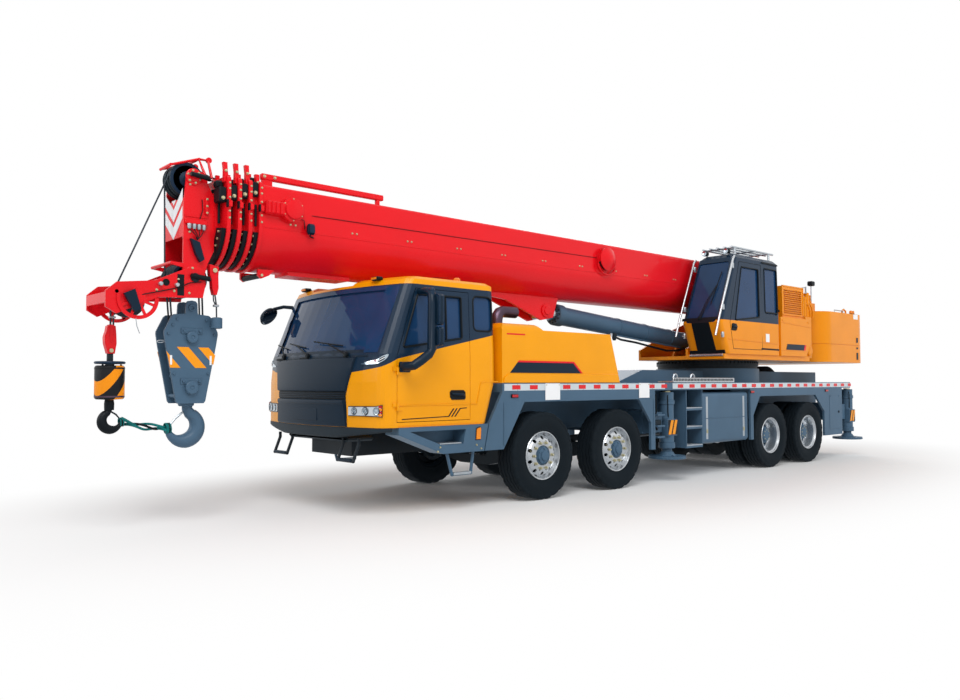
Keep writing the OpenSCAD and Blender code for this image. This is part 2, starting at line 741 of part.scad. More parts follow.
// Outriggers: each beam ends in the tube of its jack
module outrigger_beam(box_x, k) color(carrier_blue) translate([cell_x(box_x, k), 0, 0]) difference() {
    union() {
        box(-beam_w / 2, beam_w / 2, -box_y - 150, jack_y, box_z + box_t + run,
            box_z + box_t + run + beam_h);
        translate([0, jack_y, jack_bottom]) cylinder(d = jack_d, h = jack_top - jack_bottom);
    }
    translate([0, jack_y, jack_bottom - 1]) cylinder(d = jack_rod_d + 2 * run,
        h = jack_top - jack_bottom - 20);
}

module jack(box_x, k) color(steel) translate([cell_x(box_x, k), jack_y, foot_z]) {
    cylinder(d = foot_d, h = foot_t);
    translate([0, 0, foot_t]) cylinder(d1 = 260, d2 = jack_rod_d + 20, h = 60);
    cylinder(d = jack_rod_d, h = jack_top - 60 - foot_z);
}

module beam_front_left() place() outrigger_beam(front_box_x, 1);
module beam_front_right() place() mirrored() outrigger_beam(front_box_x, 0);
module beam_rear_left() place() outrigger_beam(rear_box_x, 1);
module beam_rear_right() place() mirrored() outrigger_beam(rear_box_x, 0);
module jack_front_left() place() jack(front_box_x, 1);
module jack_front_right() place() mirrored() jack(front_box_x, 0);
module jack_rear_left() place() jack(rear_box_x, 1);
module jack_rear_right() place() mirrored() jack(rear_box_x, 0);

// Superstructure: turntable with the two boom plates, the pins and the cab's platform
base_front_x = slew_x + 1350;
base_rear_x = weight_rear_x + 400;
base_top = upper_z + base_t;
luff_bracket_y = 150;

module boom_plate() polygon([
    [base_front_x, upper_z], [base_front_x, base_top + 120], [luff_base[0], base_top + 480],
    [pivot_x + 500, pivot_z + 60], [pivot_x + 140, pivot_z + 200], [pivot_x - 140, pivot_z + 200],
    [pivot_x - 400, pivot_z - 150], [base_rear_x, base_top + 720], [base_rear_x, upper_z]]);

module luff_bracket() polygon([
    [luff_base[0] - 320, base_top - 1], [luff_base[0] - 120, luff_base[1] + 60], [luff_base[0] - 60,
        luff_base[1] + 110],
    [luff_base[0] + 60, luff_base[1] + 110], [luff_base[0] + 120, luff_base[1] + 60],
        [luff_base[0] + 320, base_top - 1]]);

module turntable() color(upper_orange) place() {
    translate([slew_x, 0, upper_z]) cylinder(d = slew_d - 20, h = base_t);
    box(base_rear_x, base_front_x, -plate_y, plate_y, upper_z, base_top);
    box(slew_x - 1480, slew_x + 1400, plate_y - 1, half_w - 40, upper_z, platform_z);
    both_sides() slab(plate_y - plate_t, plate_y) boom_plate();
    both_sides() slab(luff_bracket_y, luff_bracket_y + plate_t) luff_bracket();
    pin([pivot_x, pivot_z], foot_pin_d, -plate_y - 30, plate_y + 30);
    pin(luff_base, luff_pin_d, -luff_bracket_y - plate_t, luff_bracket_y + plate_t);
}

// Counterweight: two slabs with a groove between, and a slot for the winches
weight_r = 420;
groove = 8;
lower_slab_h = 340;

module weight_plan(inset) difference() {
    translate([(weight_rear_x + weight_front_x) / 2, 0])
        round_rect(weight_front_x - weight_rear_x - 2 * inset, body_w - 2 * inset, weight_r - inset);
    translate([base_rear_x - 10, -plate_y]) square([weight_front_x - base_rear_x + 100, plates_w]);
}

module counterweight() color(upper_orange) place() {
    translate([0, 0, upper_z]) linear_extrude(lower_slab_h) weight_plan(0);
    translate([0, 0, upper_z + lower_slab_h]) linear_extrude(groove) weight_plan(groove);
    translate([0, 0, upper_z + lower_slab_h + groove]) linear_extrude(weight_h - lower_slab_h - groove)
        weight_plan(0);
}

slot_l = weight_front_x - base_rear_x;

module winch(x, z, drum_r) translate([x, 0, z]) {
    pin([0, 0], 2 * drum_r, -plate_y + plate_t, plate_y - plate_t);
    for (y = [-plate_y + plate_t, plate_y - plate_t - 30]) pin([0, 0], 2 * drum_r + 0.1 * slot_l, y,
        y + 30);
}

module winches() color(dark) place() {
    winch(weight_front_x - 0.47 * slot_l, base_top + 0.3 * slot_l, slot_l / 8);
    winch(weight_front_x - 0.825 * slot_l, base_top + 0.26 * slot_l, slot_l * 0.106);
}

// Operator's cab: levels as height, rear, front and the step in at the sides
op_y0 = plate_y + 30;
op_w = half_w - op_y0;
op_rear_x = slew_x - 350;
op_top = platform_z + op_cab_h;
op_levels = [
    [platform_z, op_rear_x, slew_x + 1370, 0], [platform_z + 500, op_rear_x, slew_x + 1580, 0],
    [op_top - 60, op_rear_x, slew_x + 1110, 20], [op_top, op_rear_x + 40, slew_x + 1040, 80]];
op_belt = platform_z + 560;

module op_plan(level) translate([(level[1] + level[2]) / 2, (op_y0 + half_w) / 2])
    round_rect(level[2] - level[1], half_w - op_y0 - 2 * level[3], 90);

module op_slice(level, grow) translate([0, 0,
    level[0]]) linear_extrude(slice_t) offset(delta = grow) op_plan(level, $fn = 32);

module op_body(grow) hull() {
    op_slice(op_levels[0], grow);
    op_slice(op_levels[1], grow);
    op_slice(op_levels[2], grow);
    op_slice(op_levels[3] - [slice_t, 0, 0, 0], grow);
}

module op_skin(outer, inner) difference() {
    op_body(outer);
    intersection() {
        op_body(inner);
        box(op_rear_x, slew_x + 1600, op_y0, half_w, platform_z + op_cab_t, op_top - op_cab_t);
    }
}

module op_door_outline(g) polygon([
    [slew_x + 270 - g, platform_z + 80 - g], [slew_x + 1190 + g, platform_z + 80 - g],
        [slew_x + 1290 + g, op_belt - 60],
    [slew_x + 960 + g, op_top - 120 + g], [slew_x + 270 - g, op_top - 120 + g]]);

module op_door_window() polygon([
    [slew_x + 350, op_belt + 60], [slew_x + 1130, op_belt - 20], [slew_x + 900, op_top - 200],
        [slew_x + 350, op_top - 200]]);

module op_side_window() translate([slew_x - 50, (op_belt + op_top) / 2 - 20]) round_rect(440,
    op_top - op_belt - 300, 60);

module op_side_cut() slab(half_w - 200, half_w + 50) children();

module op_boom_side_cut() slab(op_y0 - 50, op_y0 + 200) translate([slew_x + 300, (op_belt + op_top) / 2])
    round_rect(900, op_top - op_belt - 300, 60);

module op_end_window(x0, x1, z0) rib(x0, x1) translate([(op_y0 + half_w) / 2, (z0 + op_top - 130) / 2])
    round_rect(half_w - op_y0 - 160, op_top - 130 - z0, 50);

module op_windows() {
    op_side_cut() op_side_window();
    op_boom_side_cut();
    op_end_window(slew_x + 900, slew_x + 1700, op_belt - 60);
    op_end_window(op_rear_x - 50, op_rear_x + 200, op_belt + 250);
}

// Rails over the roof window
module roof_guard() {
    rail_z = op_top + 120;
    y0 = op_y0 + 100;
    y1 = half_w - 100;
    for (x = [op_rear_x + 200, slew_x + 940], y = [y0, y1]) bar([x, y, op_top - 10], [x, y, rail_z], 34);
    for (i = [0 : 4]) bar([op_rear_x + 60, y0 + i * (y1 - y0) / 4, rail_z], [slew_x + 1060,
        y0 + i * (y1 - y0) / 4, rail_z], 30);
    for (x = [op_rear_x + 200, slew_x + 320, slew_x + 940]) bar([x, y0 - 15, rail_z], [x, y1 + 15,
        rail_z], 30);
}

module operator_cab() color(upper_orange) place() {
    difference() {
        op_skin(0, -op_cab_t);
        op_side_cut() op_door_outline(door_gap);
        op_windows();
    }
    roof_guard();
}

module operator_door() color(upper_orange) place() difference() {
    intersection() {
        op_skin(0, -op_cab_t);
        op_side_cut() op_door_outline(door_gap - run);
    }
    op_side_cut() op_door_window();
}

module operator_glass() color(glass_grey) place() intersection() {
    op_skin(-glass_in, -glass_in - glass_t);
    union() {
        op_windows();
        op_side_cut() op_door_window();
    }
}

module operator_seat() color(dark) place() {
    seat(slew_x + 250, (op_y0 + half_w) / 2, platform_z + op_cab_t, 0.69 * op_w);
    for (y = [op_y0 + op_w / 12, half_w - 0.21 * op_w])
        box(slew_x + 60, slew_x + 560, y, y + op_w / 8, platform_z + op_cab_t, platform_z + 600);
}

cover_x1 = op_rear_x - 10;
cover_x0 = slew_x - 1480;
side_cover_top = platform_z + 680;

module side_cover() color(upper_orange) place() slab(op_y0, half_w) polygon([
    [cover_x1, platform_z], [cover_x1, side_cover_top], [cover_x0 + 60, side_cover_top], [cover_x0,
        side_cover_top - 60],
    [cover_x0 + 20, platform_z + 280], [cover_x0 + 190, platform_z]]);

// Cooler with a slatted face, and the valve stack behind it
module oil_cooler() color(upper_orange) place() {
    x0 = cover_x0 + 100;
    x1 = cover_x1 - 250;
    z0 = side_cover_top;
    difference() {
        box(x0, x1, op_y0 + 60, half_w - 100, z0, z0 + 570);
        box(x0 + 60, x1 - 60, half_w - 130, half_w - 99, z0 + 60, z0 + 510);
    }
    for (i = [1 : 11]) box(x0 + 60, x1 - 60, half_w - 131, half_w - 105, z0 + 60 + i * 37,
        z0 + 74 + i * 37);
    translate([weight_front_x - 330, plate_y + 250, upper_z + weight_h]) {
        translate([-150, -150, 0]) cube([300, 300, 180]);
        for (x = [-80, 80], y = [-70, 70]) translate([x, y, 180]) cylinder(d = 90, h = 160);
    }
}

// Luffing cylinder, drawn along X from its base pin
rod_start = 260;
barrel_end = luff_len - 330;
luff_eye_d = 240;

module along_luff() translate([luff_base[0], 0, luff_base[1]]) rotate([0, -luff_tilt, 0]) children();

module along_x(x0, x1, d) translate([x0, 0, 0]) rotate([0, 90, 0]) cylinder(d = d, h = x1 - x0);

module luff_barrel() color(carrier_blue) place() along_luff() difference() {
    union() {
        pin([0, 0], luff_eye_d, -luff_bracket_y + 5, luff_bracket_y - 5);
        along_x(60, barrel_end, luff_d);
        along_x(barrel_end - 120, barrel_end, luff_d + 30);
    }
    pin([0, 0], luff_pin_d + 2 * run, -luff_bracket_y, luff_bracket_y);
    along_x(rod_start - 20, barrel_end + 1, luff_rod_d + 2 * run);
}

module luff_rod() color(steel) place() along_luff() difference() {
    union() {
        along_x(rod_start, luff_len - 60, luff_rod_d);
        pin([luff_len, 0], luff_eye_d - 10, -100, 100);
    }
    pin([luff_len, 0], luff_pin_d, -110, 110);
}

// Boom sections: a box with a round lower half, each inside the one before
collar_t = 40;
collar_rim = 20;
top_r = 40;
eye_plate_y = 110;

function section_w(i) = boom_w - 2 * i * boom_step;
function section_h(i) = boom_h - 2 * i * boom_step;
function section_z(i) = boom_z + i * boom_step;
function section_front(i) = boom_front_x + i * collar_pitch;
function section_rear(i) = boom_rear_x + i * 40;

module u_outline(w, h) {
    translate([0, w / 2]) circle(d = w);
    translate([-w / 2, w / 2]) square([w, h - w / 2 - top_r]);
    translate([-w / 2 + top_r, w / 2]) square([w - 2 * top_r, h - w / 2]);
    for (s = [-1, 1]) translate([s * (w / 2 - top_r), h - top_r]) circle(r = top_r);
}

// Outline of a section, grown by g all round
module section_outline(i, g) translate([0, section_z(i) - g]) u_outline(section_w(i) + 2 * g,
    section_h(i) + 2 * g);

module section_tube(i, front) rib(section_rear(i), front) difference() {
    section_outline(i, 0);
    section_outline(i, -boom_t);
}

// The collar's bore guides the next section, and its fins stand on top
module collar(i) {
    x = section_front(i);
    rib(x - collar_t, x) difference() {
        section_outline(0, collar_rim);
        section_outline(i + 1, run);
    }
    for (s = [-1, 1]) slab(s * 150 - 15, s * 150 + 15)
        translate([x - collar_t, boom_z + boom_h + collar_rim - 2]) square([collar_t, 130 - 25 * i]);
}

module boom_section(i) {
    section_tube(i, section_front(i) - collar_t + 1);
    collar(i);
}

// Wear pads at the tail, which ride in the section outside
module tail_pads(i) rib(section_rear(i), section_rear(i) + 200) difference() {
    section_outline(i - 1, -boom_t - run);
    section_outline(i, -boom_t);
}

foot_plate_out = plate_y - plate_t - 6;

module foot_plate() {
    polygon([
        [boom_rear_x + 1100, boom_z + boom_w / 2], [boom_rear_x + 1100, boom_z + boom_h - 120],
        [boom_rear_x, boom_z + boom_h - 60], [pivot_x - 60, pivot_z + 180], [pivot_x - 60, pivot_z - 180],
        [boom_rear_x + 100, boom_z + 90]]);
    translate([pivot_x, pivot_z]) circle(r = 190);
}

module eye_plate() polygon([
    [luff_eye[0] - 260, boom_z + 30], [luff_eye[0] - 150, luff_eye[1] - 90], [luff_eye[0] + 90,
        luff_eye[1] - 140],
    [luff_eye[0] + 800, boom_z - 60], [luff_eye[0] + 1760, boom_z + 30]]);

module boom_1() color(boom_red) place() {
    boom_section(0);
    difference() {
        both_sides() slab(boom_w / 2 - boom_t + 2, foot_plate_out) foot_plate();
        pin([pivot_x, pivot_z], foot_pin_d + 2 * run, -plate_y, plate_y);
    }
    // What hangs under the tube ends inside its wall, clear of the next section
    difference() {
        union() {
            both_sides() slab(eye_plate_y, eye_plate_y + plate_t) eye_plate();
            rib(cab_front_x - 480, cab_front_x + 320) translate([-150, boom_z - 20]) square([300, 45]);
        }
        pin(luff_eye, luff_pin_d, -boom_w / 2, boom_w / 2);
        rib(boom_rear_x - 1, boom_front_x) section_outline(0, -boom_t / 2);
    }
    for (x = [boom_front_x - 370, slew_x + 3400]) pin([x, boom_z + 640], 240, boom_w / 2 - 5,
        boom_w / 2 + 60);
}

module inner_section(i) color(boom_red) place() {
    boom_section(i);
    tail_pads(i);
}

module boom_2() inner_section(1);
module boom_3() inner_section(2);
module boom_4() inner_section(3);

// Boom head on the last section
head_y = head_w / 2;
head_t = 25;
shaft_d = 90;

module head_plate() polygon([
    [head_x - 5, section_z(4)], [head_x - 5, section_z(4) + section_h(4) - 60], [head_x + 120,
        boom_z + boom_h + 50],
    [head_x + 280, boom_z + boom_h + 40], [head_x + 310, boom_z + 600], [head_x + 310,
        lower_sheave[1] - 60],
    [head_x + 250, lower_sheave[1] - 120], [head_x + 130, lower_sheave[1] - 120], [head_x + 60, boom_z]]);

module boom_5() color(boom_red) place() {
    section_tube(4, head_x - 30);
    rib(head_x - 31, head_x) section_outline(4, 0);
    tail_pads(4);
    difference() {
        both_sides() slab(head_y - head_t, head_y) head_plate();
        for (p = [lower_sheave, upper_sheave]) pin(p, shaft_d + 2 * run, -head_w, head_w);
    }
    box(head_x + 285, head_x + 310, -head_y + head_t - 1, head_y - head_t + 1, boom_z + 260, boom_z + 650);
}

module sheave(p, y, r) translate([p[0], y, p[1]]) rotate([-90, 0, 0]) rotate_extrude() polygon([
    [0, -35], [r, -35], [r, -25], [r - rope_d, -8], [r - rope_d, 8], [r, 25], [r, 35], [0, 35]]);

jib_y = head_y + 10;
jib_t = 25;

module head_sheaves() color(dark) place() {
    pin(lower_sheave, shaft_d, -jib_y - jib_t - 10, jib_y + jib_t + 10);
    for (y = [-120 : 80 : 120]) sheave(lower_sheave, y, sheave_r);
    pin(upper_sheave, shaft_d, -head_y - 20, head_y + 20);
    for (y = [-60, 60]) sheave(upper_sheave, y, sheave_r);
    pin(jib_sheave, shaft_d, -jib_y - jib_t - 10, jib_y + jib_t + 10);
    sheave(jib_sheave, 0, jib_sheave_r);
}

module jib_plate() polygon([
    [lower_sheave[0] - 110, lower_sheave[1] - 60], [lower_sheave[0] - 90, lower_sheave[1] + 80],
    [lower_sheave[0] + 100, lower_sheave[1] + 80], [jib_sheave[0] - 160, lower_sheave[1] - 60],
    [nose_x - 100, jib_sheave[1] + 150], [nose_x, jib_sheave[1] + 60], [nose_x, jib_sheave[1] - 90],
    [nose_x - 100, jib_sheave[1] - 150], [jib_sheave[0] - 200, lower_sheave[1] - 220],
    [lower_sheave[0] - 80, lower_sheave[1] - 200]]);

module rooster_jib() color(boom_red) place() {
    difference() {
        both_sides() slab(jib_y, jib_y + jib_t) jib_plate();
        for (p = [lower_sheave, jib_sheave]) pin(p, shaft_d + 2 * run, -head_w, head_w);
    }
    rib(lower_sheave[0] + 270, lower_sheave[0] + 330) translate([0,
        lower_sheave[1] - 60]) square([2 * jib_y + 2, 60], center = true);
    rib(nose_x - 30, nose_x) translate([0, jib_sheave[1]]) square([2 * jib_y + 2, 100], center = true);
}

// Main hook block with its rope falls; heights count from the lower head sheave
block_sheave = [block_x, lower_sheave[1] - 590];
block_sheave_r = 170;
block_y = 95;
hook_z = lower_sheave[1] - 1495;
hook_r = 150;
hook_off = 30;
// The falls lean, so they stand a little off the groove at the level of the pin
rope_lift = 1.2;

module block_plate() polygon([for (p = [
    [60, -250], [80, -350], [185, -365], [278, -540], [145, -1260],
    [-145, -1260], [-278, -540], [-185, -365], [-80, -350], [-60, -250]]) [block_x + p[0],
        lower_sheave[1] + p[1]]]);

// A hook bowl of mid radius r and thickness d, open towards +X: it starts under the shank,
// which stands by "off" behind the bowl's centre, and its tip is turned up
module hook_bowl(r, d, off) rotate([90, 0, 0]) {
    start = acos(-off / r);
    rotate([0, 0, start]) rotate_extrude(angle = 355 - start) translate([r, 0]) circle(d = d);
    rotate([0, 0, 355]) translate([r, 0]) sphere(d = 0.96 * d);
}

module hook_block() color(carrier_blue) place() {
    both_sides() slab(block_y, block_y + 25) block_plate();
    pin(block_sheave, shaft_d, -block_y - 40, block_y + 40);
    pin([block_x, lower_sheave[1] - 1100], shaft_d, -block_y - 40, block_y + 40);
    for (y = [-40, 40]) sheave(block_sheave, y, block_sheave_r);
    for (y = [-40, 40], s = [-1, 1])
        bar([lower_sheave[0] + s * (sheave_r - rope_d / 2 + rope_lift), y, lower_sheave[1]],
            [block_x + s * (block_sheave_r - rope_d / 2 - 2), y, block_sheave[1]], rope_d);
    translate([block_x, 0, hook_z + hook_r - hook_off]) cylinder(d = hook_d, h = 400);
    translate([block_x, 0, lower_sheave[1] - 1180]) cylinder(d = 2 * block_y + 2, h = 120);
    translate([block_x + hook_off, 0, hook_z]) hook_bowl(hook_r, hook_d, hook_off);
}

// Single fall hook: wedge socket, ball weight and hook
aux_x = jib_sheave[0] + jib_sheave_r - rope_d / 2 + run;
aux_d = 270;
aux_hook_z = jib_sheave[1] - 1165;
aux_hook_r = 88;
aux_hook_d = 64;
aux_off = 20;

module aux_hook() color(dark) place() {
    z = jib_sheave[1];
    bar([aux_x, 0, z], [aux_x, 0, z - 270], rope_d);
    slab(-30, 30) polygon([[aux_x - 35, z - 250], [aux_x + 35, z - 250], [aux_x + 60, z - 420], [aux_x,
        z - 500], [aux_x - 60, z - 420]]);
    translate([aux_x, 0, z - 640]) cylinder(d = 60, h = 200);
    translate([aux_x, 0, z - 960]) cylinder(d = aux_d, h = 330);
    translate([aux_x, 0, aux_hook_z + aux_hook_r - aux_off]) cylinder(d = aux_hook_d, h = 160);
    translate([aux_x + aux_off, 0, aux_hook_z]) hook_bowl(aux_hook_r, aux_hook_d, aux_off);
}

chassis_frame();
deck();
cab_shell();
cab_roof();
cab_front();
cab_glass();
cab_interior();
lamps();
engine_cover();
engine();
side_tanks();
front_axles();
drive_axles();
cab_steps();
spare_wheel();
slew_ring();
door_left();
door_right();
door_glass_left();
door_glass_right();
knuckle_1_left();
knuckle_1_right();
knuckle_2_left();
knuckle_2_right();
wheel_1_left();
wheel_1_right();
wheel_2_left();
wheel_2_right();
wheel_3_left();
wheel_3_right();
wheel_4_left();
wheel_4_right();
beam_front_left();
beam_front_right();
beam_rear_left();
beam_rear_right();
jack_front_left();
jack_front_right();
jack_rear_left();
jack_rear_right();
turntable();
counterweight();
winches();
operator_cab();
operator_door();
operator_glass();
operator_seat();
side_cover();
oil_cooler();
luff_barrel();
luff_rod();
boom_1();
boom_2();
boom_3();
boom_4();
boom_5();
head_sheaves();
rooster_jib();
hook_block();
aux_hook();
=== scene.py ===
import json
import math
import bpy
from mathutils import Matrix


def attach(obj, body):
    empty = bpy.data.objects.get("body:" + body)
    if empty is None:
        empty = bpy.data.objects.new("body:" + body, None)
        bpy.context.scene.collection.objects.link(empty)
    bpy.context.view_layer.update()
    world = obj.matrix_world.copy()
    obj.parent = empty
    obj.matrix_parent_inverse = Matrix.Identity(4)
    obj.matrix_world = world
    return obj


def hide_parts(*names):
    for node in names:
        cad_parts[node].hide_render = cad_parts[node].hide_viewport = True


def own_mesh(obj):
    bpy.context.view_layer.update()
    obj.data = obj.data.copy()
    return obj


bl_info = {
    "name": "Mobile crane dressing",
    "version": (1, 0, 0),
    "blender": (4, 5, 0),
    "location": "View3D > Sidebar > Crane",
    "description": "Finishes and fine parts on the packed frame of a mobile crane",
    "category": "Object",
}

import bmesh
import bpy
from mathutils import Matrix, Vector

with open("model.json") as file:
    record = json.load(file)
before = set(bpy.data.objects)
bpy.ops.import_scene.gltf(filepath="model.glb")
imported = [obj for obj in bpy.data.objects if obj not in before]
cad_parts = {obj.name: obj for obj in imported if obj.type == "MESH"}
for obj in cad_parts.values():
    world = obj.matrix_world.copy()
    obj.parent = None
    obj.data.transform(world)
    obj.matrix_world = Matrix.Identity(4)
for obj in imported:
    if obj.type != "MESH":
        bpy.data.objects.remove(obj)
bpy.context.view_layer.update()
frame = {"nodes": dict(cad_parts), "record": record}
JOINTS = {j["name"]: j for j in frame["record"]["behaviour"]["joints"]}
# Axle one in the frame, in millimetres: pieces are drawn from it, as the part's source is
ORIGIN_X = JOINTS["spin_1_left"]["pos_m"][0] * 1000
HALF_W = 1250.0
AXLE_Z = 542.5
SLEW_X = -5600.0
BOOM_Z, BOOM_H, BOOM_W = 2650.0, 880.0, 840.0
HEAD_X = 3841.0
LOWER, UPPER, JIB = (4041.0, 2500.0), (4056.0, 3520.0), (4601.0, 2250.0)
TYRE_R, TRACK_Y, INNER_Y = 542, 1100, 760
BLOCK_X, FALL_X = 4001.0, JIB[0] + 150.3
# Boom collars: where they lie, how far they stand out, and how much smaller each section is on a side
COLLAR_X = [3430.0 + 117.0 * i for i in range(4)]
RIM, NEST = 20.0, 35
# Driver's cab: front, sill and belt, the screen's height and lean, and the radii of its plan
CAB_NOSE, CAB_SILL, CAB_BELT = 2620, 1450, 1750
SCREEN_H, SCREEN_LEAN, SIDE_LEAN = 770, 315, 35
BOW_R, CORNER_R, CORNER_BACK, BOW_TURN = 3880, 140, 308.4, 17.26
# Operator's cab: belt, its front there, the pane's height and the leans
UPPER_BELT, UPPER_FRONT, PANE_H, PANE_LEAN, PANE_INWARD, PANEL_SLOPE = 2400, -4020, 1080, 470, 20, 0.42
STRIP_Z = 1389
FINISH = {}
# Names of the finishes that many pieces share
BLACK, MASK, ZINC, TUBE, IRON = "black_plastic", "mask_plastic", "zinc_plate", "galvanised_tube", "iron_paint"
YELLOW, ORANGE, RED, BLUE, GREY = "enamel_yellow", "enamel_orange", "enamel_red", "enamel_blue", "enamel_grey"
WIRE, MIRROR, ALLOY = "wire_rope", "mirror_silver", "polished_aluminium"


def turns(count):
    """Equal steps round a circle, in radians."""
    return [2 * math.pi * k / count for k in range(count)]


def linear(text):
    """The linear colour of an sRGB hex value."""
    parts = [int(text[i:i + 2], 16) / 255 for i in (1, 3, 5)]
    return tuple(c / 12.92 if c <= 0.04045 else ((c + 0.055) / 1.055) ** 2.4 for c in parts) + (1.0,)


def put(tree, kind, inputs=None, **settings):
    """Adds a node to a tree, with its settings and its inputs filled or linked."""
    item = tree.nodes.new(kind)
    for key, value in settings.items():
        setattr(item, key, value)
    for key, value in (inputs or {}).items():
        if isinstance(value, bpy.types.NodeSocket):
            tree.links.new(value, item.inputs[key])
        else:
            item.inputs[key].default_value = value
    return item


def blank(item):
    """A material or world with an empty node tree, and that tree."""
    item.use_nodes = True
    item.node_tree.nodes.clear()
    return item, item.node_tree


class Shape:
    """Gathers the faces of one piece, in millimetres from an origin that counts from axle one."""

    def __init__(self, origin=(0, 0, 0)):
        self.points, self.faces, self.face_finish, self.finishes = [], [], [], []
        self.origin = origin

    def add(self, points, faces, finish):
        start = len(self.points)
        self.points += [tuple(p) for p in points]
        if finish not in self.finishes:
            self.finishes.append(finish)
        self.faces += [tuple(start + i for i in f) for f in faces]
        self.face_finish += [self.finishes.index(finish)] * len(faces)

    def rings(self, rings, finish, closed=False, caps=True):
        """Skins a list of rings that have equal counts of points."""
        n, m = len(rings[0]), len(rings)
        faces = []
        for i in range(m if closed else m - 1):
            a, b = i * n, (i + 1) % m * n
            faces += [(a + k, a + (k + 1) % n, b + (k + 1) % n, b + k) for k in range(n)]
        if caps and not closed:
            faces += [tuple(range(n))[::-1], tuple(range((m - 1) * n, m * n))]
        self.add([p for ring in rings for p in ring], faces, finish)

    def box(self, x, y, z, finish, chamfer=2.0):
        """A block between pairs of bounds, with its edges along X taken off."""
        (x0, x1), (y0, y1), (z0, z1) = sorted(x), sorted(y), sorted(z)
        c = min(chamfer, (x1 - x0) / 3, (y1 - y0) / 3, (z1 - z0) / 3)
        rings = []
        for xx, g in ((x0, c), (x0 + c, 0), (x1 - c, 0), (x1, c)):
            a0, a1, b0, b1 = y0 + g, y1 - g, z0 + g, z1 - g
            rings.append([(xx, a0 + c, b0), (xx, a1 - c, b0), (xx, a1, b0 + c), (xx, a1, b1 - c),
                          (xx, a1 - c, b1), (xx, a0 + c, b1), (xx, a0, b1 - c), (xx, a0, b0 + c)])
        self.rings(rings, finish)

    def plate(self, outline, low, high, finish, axis="y"):
        """An outline with thickness: (x, z) along Y, (y, z) along X or (x, y) along Z."""
        order = {"x": lambda a, b, t: (t, a, b), "y": lambda a, b, t: (a, t, b),
                 "z": lambda a, b, t: (a, b, t)}[axis]
        self.rings([[order(a, b, t) for a, b in outline] for t in (low, high)], finish)

    def tube(self, path, size, finish, sides=12, closed=False):
        """A round bar along points; size is one diameter or one for each point."""
        path = [Vector(p) for p in path]
        sizes = size if isinstance(size, (list, tuple)) else [size] * len(path)
        rings, across = [], None
        for i, p in enumerate(path):
            ahead = path[(i + 1) % len(path)] if closed or i + 1 < len(path) else p
            behind = path[i - 1] if closed or i else p
            way = (ahead - behind).normalized()
            if across is None:
                across = way.orthogonal().normalized()
            across = (across - way * across.dot(way)).normalized()
            up = way.cross(across)
            rings.append([p + (across * math.cos(t) + up * math.sin(t)) * (sizes[i] / 2)
                          for t in turns(sides)])
        self.rings(rings, finish, closed=closed)

    def turned(self, profile, centre, finish, axis="y", steps=40, ends=True):
        """A lathe shape: profile of (radius, offset along the axis)."""
        order = {"x": lambda a, b, t: (t, a, b), "y": lambda a, b, t: (b, t, a),
                 "z": lambda a, b, t: (a, b, t)}[axis]
        rings = []
        for r, t in profile:
            rings.append([Vector(centre) + Vector(order(r * math.cos(a), r * math.sin(a), t))
                          for a in turns(steps)])
        self.rings(rings, finish, caps=ends)

    def bolt(self, centre, size, finish, axis="y", sign=1):
        """A hexagon head on a washer."""
        profile = [(0.62, 0), (0.62, 0.12), (0.5, 0.14), (0.5, 0.5), (0.42, 0.58)]
        self.turned([(size * r, sign * size * t) for r, t in profile], centre, finish, axis, steps=6)

    def mark(self):
        """How much the piece holds so far."""
        return len(self.points), len(self.faces)

    def mirrored(self, mark=(0, 0)):
        """Adds the faces made since a mark on the other side of the middle plane too."""
        shift = len(self.points) - mark[0]
        self.points += [(x, -y, z) for x, y, z in self.points[mark[0]:]]
        self.faces += [tuple(shift + i for i in f[::-1]) for f in self.faces[mark[1]:]]
        self.face_finish += self.face_finish[mark[1]:]

    def mesh(self, name):
        """The faces as a mesh, in metres in the shared frame."""
        mesh = bpy.data.meshes.new(name)
        ox, oy, oz = self.origin
        points = [((x + ox + ORIGIN_X) / 1000, (y + oy) / 1000, (z + oz) / 1000) for x, y, z in self.points]
        mesh.from_pydata(points, [], self.faces)
        for finish in self.finishes:
            mesh.materials.append(FINISH[finish])
        mesh.polygons.foreach_set("material_index", self.face_finish)
        return mesh

    def make(self, name, body, slot, *nodes, smooth=32):
        """The finished object: merged, turned outwards, and riding on its body."""
        return placed(self.mesh(name), name, body, nodes, smooth)


def placed(mesh, name, body, nodes=(), smooth=32):
    """Turns a mesh's faces outwards, shades it and puts it on a body."""
    work = bmesh.new()
    work.from_mesh(mesh)
    bmesh.ops.remove_doubles(work, verts=work.verts, dist=1e-6)
    bmesh.ops.recalc_face_normals(work, faces=work.faces)
    work.to_mesh(mesh)
    work.free()
    mesh.shade_smooth()
    mesh.set_sharp_from_angle(angle=math.radians(smooth))
    piece = bpy.data.objects.new(name, mesh)
    bpy.context.scene.collection.objects.link(piece)
    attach(piece, body)
    if nodes:
        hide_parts(*nodes)
    return piece


def arc(centre, radius, start, end, count):
    """Points on an arc in a plane, angles in degrees."""
    angles = [math.radians(start + (end - start) * i / count) for i in range(count + 1)]
    return [(centre[0] + radius * math.cos(a), centre[1] + radius * math.sin(a)) for a in angles]


def spread(first, last, count):
    """Evenly spaced values with both ends."""
    return [first + (last - first) * i / (count - 1) for i in range(count)]


